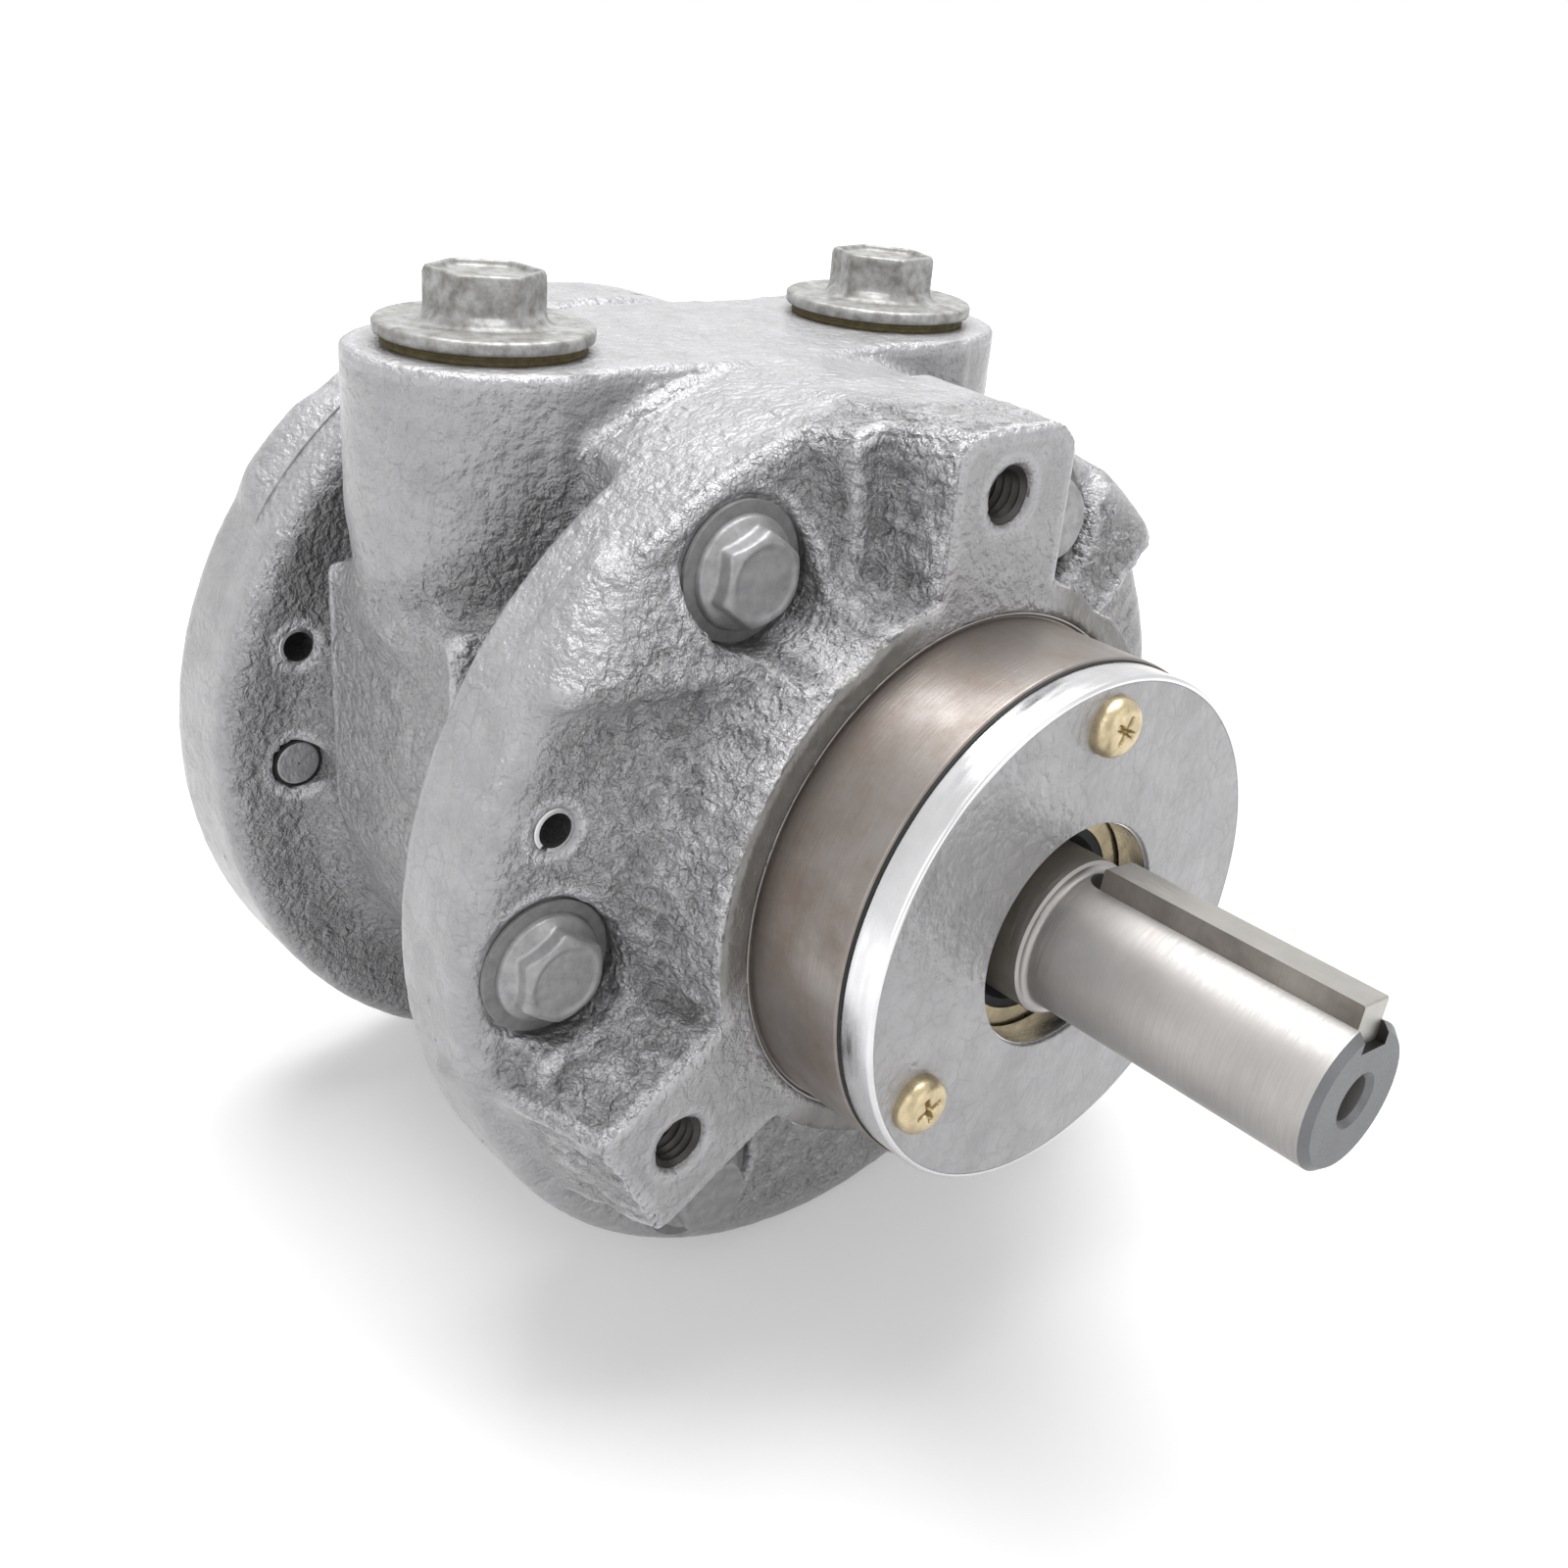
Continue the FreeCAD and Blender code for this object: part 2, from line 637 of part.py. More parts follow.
def shaft_key():
    """Rectangular key with eased ends, standing out of the shaft."""
    half = key_width / 2
    top = key_floor + key_height
    wire = outline([
        (key_start, key_floor, 0), (shaft_projection - key_end_gap, key_floor, 0),
        (shaft_projection - key_end_gap, top, key_edge), (key_start, top, key_edge),
    ], lambda p: Vector(p.x, -half, p.y))
    key = Part.Face(wire).extrude(Vector(0, key_width, 0))
    return keyed(key, key_angle)


def rotor():
    """Rotor with straight vane slots, a bore for the shaft and dished ends."""
    body = ring_x(rotor_radius, rotor_seat_radius, rotor_rear_x, rotor_front_x)
    cuts = []
    for x0, x1 in ((rotor_rear_x - past, rotor_rear_x + relief_depth),
                   (rotor_front_x - relief_depth, rotor_front_x + past)):
        cuts.append(ring_x(relief_outer, relief_inner, x0, x1))
    half = vane_thickness / 2 + vane_slot_gap
    floor = vane_tip_radius - vane_height - vane_slot_floor
    for k in range(vane_count):
        slot = block(rotor_rear_x - past, rotor_front_x + past, -half, half,
                     floor, rotor_radius + past)
        cuts.append(keyed(slot, vane_angle(k)))
    return body.cut(cuts)


def vane_angle(k):
    """Angle of one vane round the shaft at rest."""
    return first_vane_angle + 360.0 / vane_count * k


def vane(k):
    """Flat vane with a rounded tip, drawn fully into its slot."""
    half = vane_thickness / 2
    wire = outline([
        (-half, vane_tip_radius - vane_height, 0), (half, vane_tip_radius - vane_height, 0),
        (half, vane_tip_radius, vane_tip_round), (-half, vane_tip_radius, vane_tip_round),
    ], lambda p: Vector(rotor_rear_x, p.x, p.y))
    blade = Part.Face(wire).extrude(Vector(rotor_front_x - rotor_rear_x, 0, 0))
    return keyed(blade, vane_angle(k))


def bearing(sizes, x0):
    """Outer race, inner race, balls and cage of a deep-groove ball bearing."""
    bore, outer, width, ball, count = sizes
    pitch = (bore + outer) / 2
    middle = x0 + width / 2
    shoulder = ball * race_shoulder
    groove = Part.makeTorus(pitch, ball + race_groove_gap, Vector(middle, 0, 0), Vector(1, 0, 0))
    outer_race = turned([
        (x0, pitch + shoulder, 0), (x0, outer, race_edge), (x0 + width, outer, race_edge),
        (x0 + width, pitch + shoulder, 0),
    ]).cut(groove)
    inner_race = turned([
        (x0, bore, 0), (x0, pitch - shoulder, 0), (x0 + width, pitch - shoulder, 0),
        (x0 + width, bore, 0),
    ]).cut(groove)
    reach = ball + cage_side
    cage = ring_x(pitch + cage_thickness / 2, pitch - cage_thickness / 2,
                  middle - reach, middle + reach)
    balls = []
    for k in range(count):
        y, z = polar(pitch, 360.0 / count * k + 90)
        balls.append(Part.makeSphere(ball, Vector(middle, y, z)))
        pocket = Part.makeCylinder(ball + cage_pocket_gap, 2 * cage_thickness + pitch,
                                   Vector(middle, 0, 0), Vector(0, y, z))
        cage = cage.cut(pocket)
    return outer_race, inner_race, Part.makeCompound(balls), cage


def seal_case():
    """Bright pressed-metal case of the shaft seal."""
    outer = drive_bearing[1]
    return turned([
        (seal_back_x, outer - seal_case_wall, 0), (seal_back_x, outer, 0),
        (seal_front_x, outer, seal_case_round), (seal_front_x, seal_lip_outer, 0),
        (seal_front_x - seal_case_wall, seal_lip_outer, 0),
        (seal_front_x - seal_case_wall, outer - seal_case_wall, 0),
    ])


def seal_lip():
    """Rubber lip of the shaft seal, carried by its case."""
    inner = drive_bearing[0] + seal_lip_gap
    face = seal_front_x - seal_case_wall
    rear = seal_back_x + seal_lip_start
    root = face - seal_lip_root
    front = seal_front_x - seal_lip_front_gap
    outer = seal_lip_outer + seal_lip_overlap
    return turned([
        (rear, inner, 0), (rear, inner + seal_lip_thickness, seal_lip_edge),
        (root, inner + seal_lip_waist, 0), (root, outer, 0), (face, outer, 0),
        (face, seal_lip_outer, 0), (front, seal_lip_outer, 0),
        (front, inner + seal_lip_front, 0), (face - seal_case_wall, inner, 0),
    ])


def end_cap():
    """Dished cap that closes the rear bearing pocket."""
    radius = cap_radius - cap_fit_gap
    groove_inner = rear_bearing[1] + cap_groove_inset
    groove_outer = groove_inner + cap_ring_section + 2 * cap_groove_gap
    groove_x = cap_back_x - cap_ring_section
    dish_x = rear_boss_x + cap_dish_depth
    return turned([
        (rear_boss_x, cap_dish_radius, 0), (rear_boss_x, radius, cap_edge_round),
        (cap_back_x, radius, 0), (cap_back_x, groove_outer, 0), (groove_x, groove_outer, 0),
        (groove_x, groove_inner, 0), (cap_back_x, groove_inner, 0), (cap_back_x, 0, 0),
        (dish_x, 0, 0), (dish_x, cap_dish_radius - cap_dish_slope, 0),
    ])


def end_cap_seal():
    """Rubber ring in the groove of the rear cap."""
    inner = rear_bearing[1] + cap_groove_inset + cap_groove_gap
    return ring_x(inner + cap_ring_section, inner, cap_back_x - cap_ring_section, cap_back_x)


def build():
    """All sub-parts, by node name."""
    nodes = {
        "motor_body": motor_body(),
        "body_drive_flange": body_flange(drive_joint_x),
        "body_rear_flange": body_flange(rear_joint_x),
        "drive_end_plate": drive_end_plate(),
        "rear_end_plate": rear_end_plate(),
        "bearing_cover": bearing_cover(),
        "cover_gasket": cover_gasket_sheet(),
        "port_plug_left": port_plug(-1, plug_turns[0]),
        "port_plug_right": port_plug(1, plug_turns[1]),
        "plug_gasket_left": plug_gasket(-1),
        "plug_gasket_right": plug_gasket(1),
        "seal_case": seal_case(),
        "seal_lip": seal_lip(),
        "end_cap": end_cap(),
        "end_cap_seal": end_cap_seal(),
        "shaft": shaft(),
        "shaft_key": shaft_key(),
        "rotor": rotor(),
    }
    for name, sizes, x0 in (("drive", drive_bearing, drive_bearing_back_x),
                            ("rear", rear_bearing, rear_bearing_rear_x)):
        outer_race, inner_race, balls, cage = bearing(sizes, x0)
        nodes[name + "_bearing_outer_race"] = outer_race
        nodes[name + "_bearing_inner_race"] = inner_race
        nodes[name + "_bearing_balls"] = balls
        nodes[name + "_bearing_cage"] = cage
    for k in range(vane_count):
        nodes["vane_%d" % (k + 1)] = vane(k)
    for k, angle in enumerate(pad_angles):
        nodes["cover_screw_%d" % (k + 1)] = cover_screw(angle)
    for name, face_x, joint_x, seat in (
            ("drive", drive_face_x, drive_joint_x, drive_face_x - drive_spotface_depth),
            ("rear", rear_face_x, rear_joint_x, rear_face_x + rear_spotface_depth)):
        for k, (y, z) in enumerate(bore_pattern(bolt_circle, bolt_angles)):
            bolt = plate_bolt(y, z, seat, joint_x, head_turns[k])
            nodes["%s_plate_bolt_%d" % (name, k + 1)] = bolt
        for k, (y, z) in enumerate(bore_pattern(dowel_circle, dowel_angles)):
            nodes["%s_plate_dowel_%d" % (name, k + 1)] = spring_dowel(y, z, face_x, joint_x)
    return nodes


os.makedirs("parts", exist_ok=True)
for node, shape in build().items():
    shape.exportStep(os.path.join("parts", node + ".step"))
    print(node, "solids", len(shape.Solids), "valid", shape.isValid(),
          "volume %.1f" % shape.Volume)
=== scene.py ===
"""Air vane motor: cast housing, turned hub and cover, plated hardware, ground shaft.

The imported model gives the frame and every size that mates. This file dresses it: each casting is
the zero surface of a field of distances, so that cast faces run into each other in soft corners.
"""

import math

import bmesh
import bpy
import numpy as np
from mathutils import Euler, Matrix, Vector


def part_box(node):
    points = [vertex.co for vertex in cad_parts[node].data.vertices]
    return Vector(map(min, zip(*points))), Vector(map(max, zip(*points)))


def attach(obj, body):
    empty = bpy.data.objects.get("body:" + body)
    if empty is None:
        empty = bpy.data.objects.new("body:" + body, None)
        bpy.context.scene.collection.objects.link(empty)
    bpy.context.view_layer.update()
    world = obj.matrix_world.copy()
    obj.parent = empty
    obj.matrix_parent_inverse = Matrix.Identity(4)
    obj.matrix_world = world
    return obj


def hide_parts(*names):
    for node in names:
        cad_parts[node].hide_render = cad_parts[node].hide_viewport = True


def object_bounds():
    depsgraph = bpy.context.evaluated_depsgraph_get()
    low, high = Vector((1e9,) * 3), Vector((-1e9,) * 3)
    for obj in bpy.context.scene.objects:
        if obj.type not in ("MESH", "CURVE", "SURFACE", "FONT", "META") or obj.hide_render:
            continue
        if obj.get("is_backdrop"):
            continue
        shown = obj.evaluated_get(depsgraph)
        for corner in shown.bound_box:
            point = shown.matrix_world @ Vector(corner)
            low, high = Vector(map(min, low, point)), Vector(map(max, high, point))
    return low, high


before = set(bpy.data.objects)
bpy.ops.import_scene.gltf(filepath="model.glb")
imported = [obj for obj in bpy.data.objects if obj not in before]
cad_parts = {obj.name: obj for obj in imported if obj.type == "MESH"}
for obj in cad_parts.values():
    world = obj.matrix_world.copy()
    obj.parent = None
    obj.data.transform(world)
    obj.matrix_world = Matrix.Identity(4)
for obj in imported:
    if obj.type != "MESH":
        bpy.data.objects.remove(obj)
cad_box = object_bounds()

bl_info = {
    "name": "Air vane motor",
    "version": (1, 0, 0),
    "blender": (4, 5, 0),
    "location": "3D View > Sidebar > Vane motor",
    "description": "Dresses the packed air vane motor with castings, turned parts and hardware",
    "category": "Object",
}

MM = 0.001


def span(node, axis):
    """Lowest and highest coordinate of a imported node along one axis, in millimetres."""
    low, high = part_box(node)
    return low[axis] / MM, high[axis] / MM


def middle(node):
    """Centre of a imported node's box, in millimetres."""
    low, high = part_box(node)
    return (low + high) / 2 / MM


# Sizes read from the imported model, in millimetres
BORE_Z = sum(span("body_rear_flange", 2)) / 2
RIM_RADIUS = (span("body_rear_flange", 2)[1] - span("body_rear_flange", 2)[0]) / 2
BODY_REAR, BODY_FRONT = span("motor_body", 0)
HUB_END = span("drive_end_plate", 0)[1]
REAR_BOSS_X = span("rear_end_plate", 0)[0]
COVER_BACK, COVER_FRONT = span("bearing_cover", 0)
COVER_RADIUS = span("bearing_cover", 1)[1]
SHAFT_END = span("shaft", 0)[1]
DECK_Z = span("plug_gasket_left", 2)[0]


# How far the painted shade of the hollows and the painted highlight of the edges reach, in
# millimetres
# Walls within these reaches darken the paint as painted shade
HOLLOW_SHADE_REACH = ((3.0, 0.5), (8.0, 0.45), (20.0, 0.5))   # how far a wall may be, and its share
# Reach of the painted highlight on convex edges
EDGE_HIGHLIGHT_REACH = 2.5
# The painted edge highlight fades out beside a joint
END_CLEAR, END_FADE = 1.5, 5.0                          # no light edge beside a joint
SKIN_SEED = 11


# Meshes from distance fields

def both(a, b, round_by=0.0):
    """Inside both fields, with a rounded outer corner."""
    if round_by == 0:
        return np.maximum(a, b)
    u = np.maximum(a + round_by, 0)
    v = np.maximum(b + round_by, 0)
    return np.minimum(-round_by, np.maximum(a, b)) + np.hypot(u, v)


def either(a, b, hollow=0.0):
    """Inside one field or the other, with a hollow inner corner."""
    if hollow == 0:
        return np.minimum(a, b)
    u = np.maximum(hollow - a, 0)
    v = np.maximum(hollow - b, 0)
    return np.maximum(hollow, np.minimum(a, b)) - np.hypot(u, v)


def without(a, b, round_by=0.0):
    """Inside the first field and outside the second."""
    return both(a, -b, round_by)


def between(value, low, high):
    """Field of the slab between two parallel planes."""
    return np.maximum(low - value, value - high)


def rod(y, z, cy, cz, radius):
    """Field of an endless cylinder along X."""
    return np.hypot(y - cy, z - cz) - radius


def post(x, y, cx, cy, radius):
    """Field of an endless cylinder along Z."""
    return np.hypot(x - cx, y - cy) - radius


def ramp(value, start, end):
    """Smooth step from 0 at start to 1 at end."""
    t = np.clip((value - start) / (end - start), 0, 1)
    return t * t * (3 - 2 * t)


def polar(radius, degrees, cz=0.0):
    """Y and Z at an angle round the shaft, or round another height."""
    turn = math.radians(degrees)
    return radius * math.cos(turn), cz + radius * math.sin(turn)


def surface_net(field, low, high, step):
    """Vertices and quads of the zero surface of a field inside a box."""
    axes, blocks = [], []
    for a, b in zip(low, high):
        count = int(math.ceil((b - a) / step / 4 + 1)) * 4
        axis = a - 2.5 * step + step * np.arange(count + 4)
        axes.append(axis)
        blocks.append(axis[::4] + 1.5 * step)
    coarse = field(*np.meshgrid(*blocks, indexing="ij", sparse=True))
    value = coarse.astype(np.float32)
    near = np.abs(coarse) < 5.5 * step
    for axis in range(3):
        value, near = value.repeat(4, axis), near.repeat(4, axis)
    at = np.nonzero(near)
    value[at] = field(axes[0][at[0]], axes[1][at[1]], axes[2][at[2]])
    inside = value < 0
    shifts = [(i, j, k) for i in (0, 1) for j in (0, 1) for k in (0, 1)]
    nx, ny, nz = (n - 1 for n in value.shape)
    count = np.zeros((nx, ny, nz), np.int8)
    for i, j, k in shifts:
        count += inside[i:i + nx, j:j + ny, k:k + nz]
    mixed = (count > 0) & (count < 8)
    cell = np.full(mixed.shape, -1, np.int64)
    cell[mixed] = np.arange(mixed.sum())
    base = np.argwhere(mixed)
    corner = {s: value[base[:, 0] + s[0], base[:, 1] + s[1], base[:, 2] + s[2]] for s in shifts}
    total = np.zeros((len(base), 3))
    hits = np.zeros(len(base))
    for a in shifts:
        for axis in range(3):
            if a[axis]:
                continue
            b = tuple(1 if n == axis else a[n] for n in range(3))
            cross = (corner[a] < 0) != (corner[b] < 0)
            t = np.where(cross, corner[a] / np.where(cross, corner[a] - corner[b], 1), 0)
            point = np.array(a, float)[None, :].repeat(len(base), 0)
            point[:, axis] = t
            total += point * cross[:, None]
            hits += cross
    points = (base + total / hits[:, None]) * step + np.array([a[0] for a in axes])
    quads = []
    for axis in range(3):
        u, v = (axis + 1) % 3, (axis + 2) % 3
        near = np.take(inside, range(inside.shape[axis] - 1), axis)
        far = np.take(inside, range(1, inside.shape[axis]), axis)
        for edge, flip in ((near & ~far, False), (~near & far, True)):
            at = np.argwhere(edge)
            at = at[(at[:, u] > 0) & (at[:, v] > 0)]
            ring = []
            for du, dv in ((-1, -1), (0, -1), (0, 0), (-1, 0)):
                q = at.copy()
                q[:, u] += du
                q[:, v] += dv
                ring.append(cell[q[:, 0], q[:, 1], q[:, 2]])
            if flip:
                ring.reverse()
            quads.append(np.stack(ring, 1))
    quads = np.concatenate(quads)
    return points, quads[(quads >= 0).all(1)]


def slope(field, points, reach):
    """Unit gradient of a field at points, and its length."""
    parts = []
    for axis in range(3):
        shift = np.zeros(3)
        shift[axis] = reach
        a, b = points + shift, points - shift
        parts.append((field(*a.T) - field(*b.T)) / (2 * reach))
    gradient = np.stack(parts, 1)
    size = np.linalg.norm(gradient, axis=1)
    return gradient / np.maximum(size, 1e-6)[:, None], np.maximum(size, 0.2)


def lattice_noise(points, size, seed):
    """Smooth random height from -1 to 1 at points, with bumps of one size."""
    table = np.random.default_rng(seed).uniform(-1, 1, (32, 32, 32))
    q = points / size + 100.37
    cell = np.floor(q).astype(int)
    t = q - cell
    t = t * t * (3 - 2 * t)
    result = 0
    for i in (0, 1):
        for j in (0, 1):
            for k in (0, 1):
                weight = (t[:, 0] if i else 1 - t[:, 0]) * (t[:, 1] if j else 1 - t[:, 1])
                weight = weight * (t[:, 2] if k else 1 - t[:, 2])
                result = result + weight * table[(cell[:, 0] + i) % 32, (cell[:, 1] + j) % 32,
                                                 (cell[:, 2] + k) % 32]
    return result


def cast_skin(points, seed):
    """Relief of sand-cast iron under thick paint, about -1 to 1, with creases along the draw."""
    broad = lattice_noise(points, 8.0, seed)
    lumps = lattice_noise(points, 3.8, seed + 1)
    drawn = points * np.array([0.6, 1.0, 1.0])
    creases = 1 - 2.4 * np.abs(lattice_noise(drawn, 2.9, seed + 2))
    fine = 1 - 2.4 * np.abs(lattice_noise(drawn, 1.7, seed + 3))
    return 0.25 * broad + 0.3 * lumps + 0.5 * creases + 0.35 * fine


def mesh_object(name, points, faces, material, values=None):
    """Object from points in millimetres, smooth shaded, with numbers kept on its points."""
    mesh = bpy.data.meshes.new(name)
    points = np.asarray(points, float) * MM
    mesh.from_pydata(points.tolist(), [], faces if isinstance(faces, list) else faces.tolist())
    mesh.update()
    for label, numbers in (values or {}).items():
        layer = mesh.attributes.new(label, "FLOAT", "POINT")
        layer.data.foreach_set("value", np.asarray(numbers, np.float32))
    mesh.polygons.foreach_set("use_smooth", [True] * len(mesh.polygons))
    mesh.materials.append(material)
    piece = bpy.data.objects.new(name, mesh)
    bpy.context.scene.collection.objects.link(piece)
    return piece


def casting(name, field, low, high, step, rough, depth, ends=(), nodes=(), worn=None, shade=1.0):
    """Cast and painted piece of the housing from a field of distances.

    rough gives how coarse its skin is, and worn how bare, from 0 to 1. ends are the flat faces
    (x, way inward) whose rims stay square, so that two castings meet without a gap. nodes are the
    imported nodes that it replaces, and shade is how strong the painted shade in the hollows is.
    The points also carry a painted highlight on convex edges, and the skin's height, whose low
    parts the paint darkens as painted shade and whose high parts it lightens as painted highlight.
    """
    points, quads = surface_net(field, low, high, step)
    for _ in range(3):
        normal, size = slope(field, points, 0.2 * step)
        move = np.clip(field(*points.T) / size, -0.5 * step, 0.5 * step)
        points = points - normal * move[:, None]
    normal, _ = slope(field, points, 0.3 * step)
    for plane, inward in ends:
        at = np.nonzero(np.abs(points[:, 0] - plane) < 0.6 * step)[0]
        inset = points[at]
        inset[:, 0] = plane + inward * 0.6 * step
        for _ in range(2):
            way, size = slope(field, inset, 0.2 * step)
            corner = np.abs(field(*inset.T)) < 0.8 * step
            way[:, 0] = 0
            inset = inset - way * (field(*inset.T) / size * corner)[:, None]
        inset[:, 0] = plane
        points[at] = inset
        normal[at[corner]] = way[corner]
        normal[at[~corner]] = (-inward, 0, 0)
    # Painted shade: how closely walls hem in each point, at three reaches
    hollow = sum(share * np.clip(1 - field(*(points + reach * normal).T) / reach, 0, 1)
                 for reach, share in HOLLOW_SHADE_REACH)
    # Painted highlight: the sharper the convex edge, the lighter the paint
    edge = np.clip(1 + field(*(points - EDGE_HIGHLIGHT_REACH * normal).T) / EDGE_HIGHLIGHT_REACH, 0, 1)
    for plane, _ in ends:
        edge = edge * np.clip((np.abs(points[:, 0] - plane) - END_CLEAR) / END_FADE, 0, 1)
    coarse = rough(*points.T)
    skin = cast_skin(points, SKIN_SEED) * coarse
    points = points + normal * skin[:, None] * depth
    points = np.clip(points, np.array(cad_box[0]) / MM, np.array(cad_box[1]) / MM)
    bare = np.zeros(len(points)) if worn is None else worn(*points.T)
    # hollow carries the painted shade, edge the painted highlight, and skin the relief height that
    # the paint shades and lights
    values = {"hollow": shade * hollow, "edge": edge, "coarse": coarse, "skin": skin, "bare": bare}
    piece = mesh_object(name, points, quads, finish("paint"), values)
    if ends:
        piece.data.set_sharp_from_angle(angle=math.radians(70))
    stand_for(piece, "housing", "painted_housing", *nodes)


# Turned and plated pieces

def arc_corner(before, corner, after, radius, steps=5):
    """Points that round one corner of a profile."""
    p, c, n = (np.array(v, float) for v in (before, corner, after))
    a = (p - c) / np.linalg.norm(p - c)
    b = (n - c) / np.linalg.norm(n - c)
    half = math.acos(float(np.clip(a @ b, -1, 1))) / 2
    reach = radius / math.tan(half)
    way = (a + b) / np.linalg.norm(a + b)
    centre = c + way * radius / math.sin(half)
    start, end = c + a * reach - centre, c + b * reach - centre
    points = []
    for k in range(steps + 1):
        mix = start * (1 - k / steps) + end * k / steps
        points.append(tuple(centre + mix / np.linalg.norm(mix) * radius))
    return points


def rounded(profile):
    """Profile points (x, radius, rounding) with each rounded corner filled in."""
    result = []
    for i, (x, r, radius) in enumerate(profile):
        if radius:
            result += arc_corner(profile[i - 1][:2], (x, r), profile[(i + 1) % len(profile)][:2],
                                 radius)
        else:
            result.append((x, r))
    return result


def band(start, end, inner, outer, rounding=(0, 0)):
    """Profile of a plain ring, with its outer corners rounded at the start and at the end."""
    return [(start, inner, 0), (start, outer, rounding[0]), (end, outer, rounding[1]),
            (end, inner, 0)]


def turned(name, profile, material, segments=160, centre=(0.0, 0.0), along="X", gap=None):
    """Piece turned about a line along X or Z from a closed profile (station, radius, rounding).

    A gap (middle angle, width in degrees) leaves the turn open.
    """
    outline = rounded(profile)
    points, faces = [], []
    count = len(outline)
    start, sweep = (0.0, 360.0) if gap is None else (gap[0] + gap[1] / 2, 360.0 - gap[1])
    rings = segments if gap is None else segments + 1
    for k in range(rings):
        turn = math.radians(start + sweep * k / segments)
        for station, radius in outline:
            a, b = centre[0] + radius * math.cos(turn), centre[1] + radius * math.sin(turn)
            points.append((station, a, b) if along == "X" else (a, b, station))
    for k in range(segments):
        following = (k + 1) % rings
        for i in range(count):
            j = (i + 1) % count
            faces.append((k * count + i, k * count + j, following * count + j,
                          following * count + i))
    if gap is not None:
        faces += [tuple(range(count)), tuple(segments * count + i for i in range(count))]
    piece = mesh_object(name, points, faces, material)
    tidy_mesh(piece)
    return piece


def tidy_mesh(piece, sharp=32.0):
    """Merge doubled points, face the surfaces outward and keep real corners sharp."""
    work = bmesh.new()
    work.from_mesh(piece.data)
    bmesh.ops.remove_doubles(work, verts=work.verts, dist=1e-7)
    bmesh.ops.dissolve_degenerate(work, edges=work.edges, dist=1e-7)
    bmesh.ops.recalc_face_normals(work, faces=work.faces)
    work.to_mesh(piece.data)
    work.free()
    piece.data.set_sharp_from_angle(angle=math.radians(sharp))


# Finishes

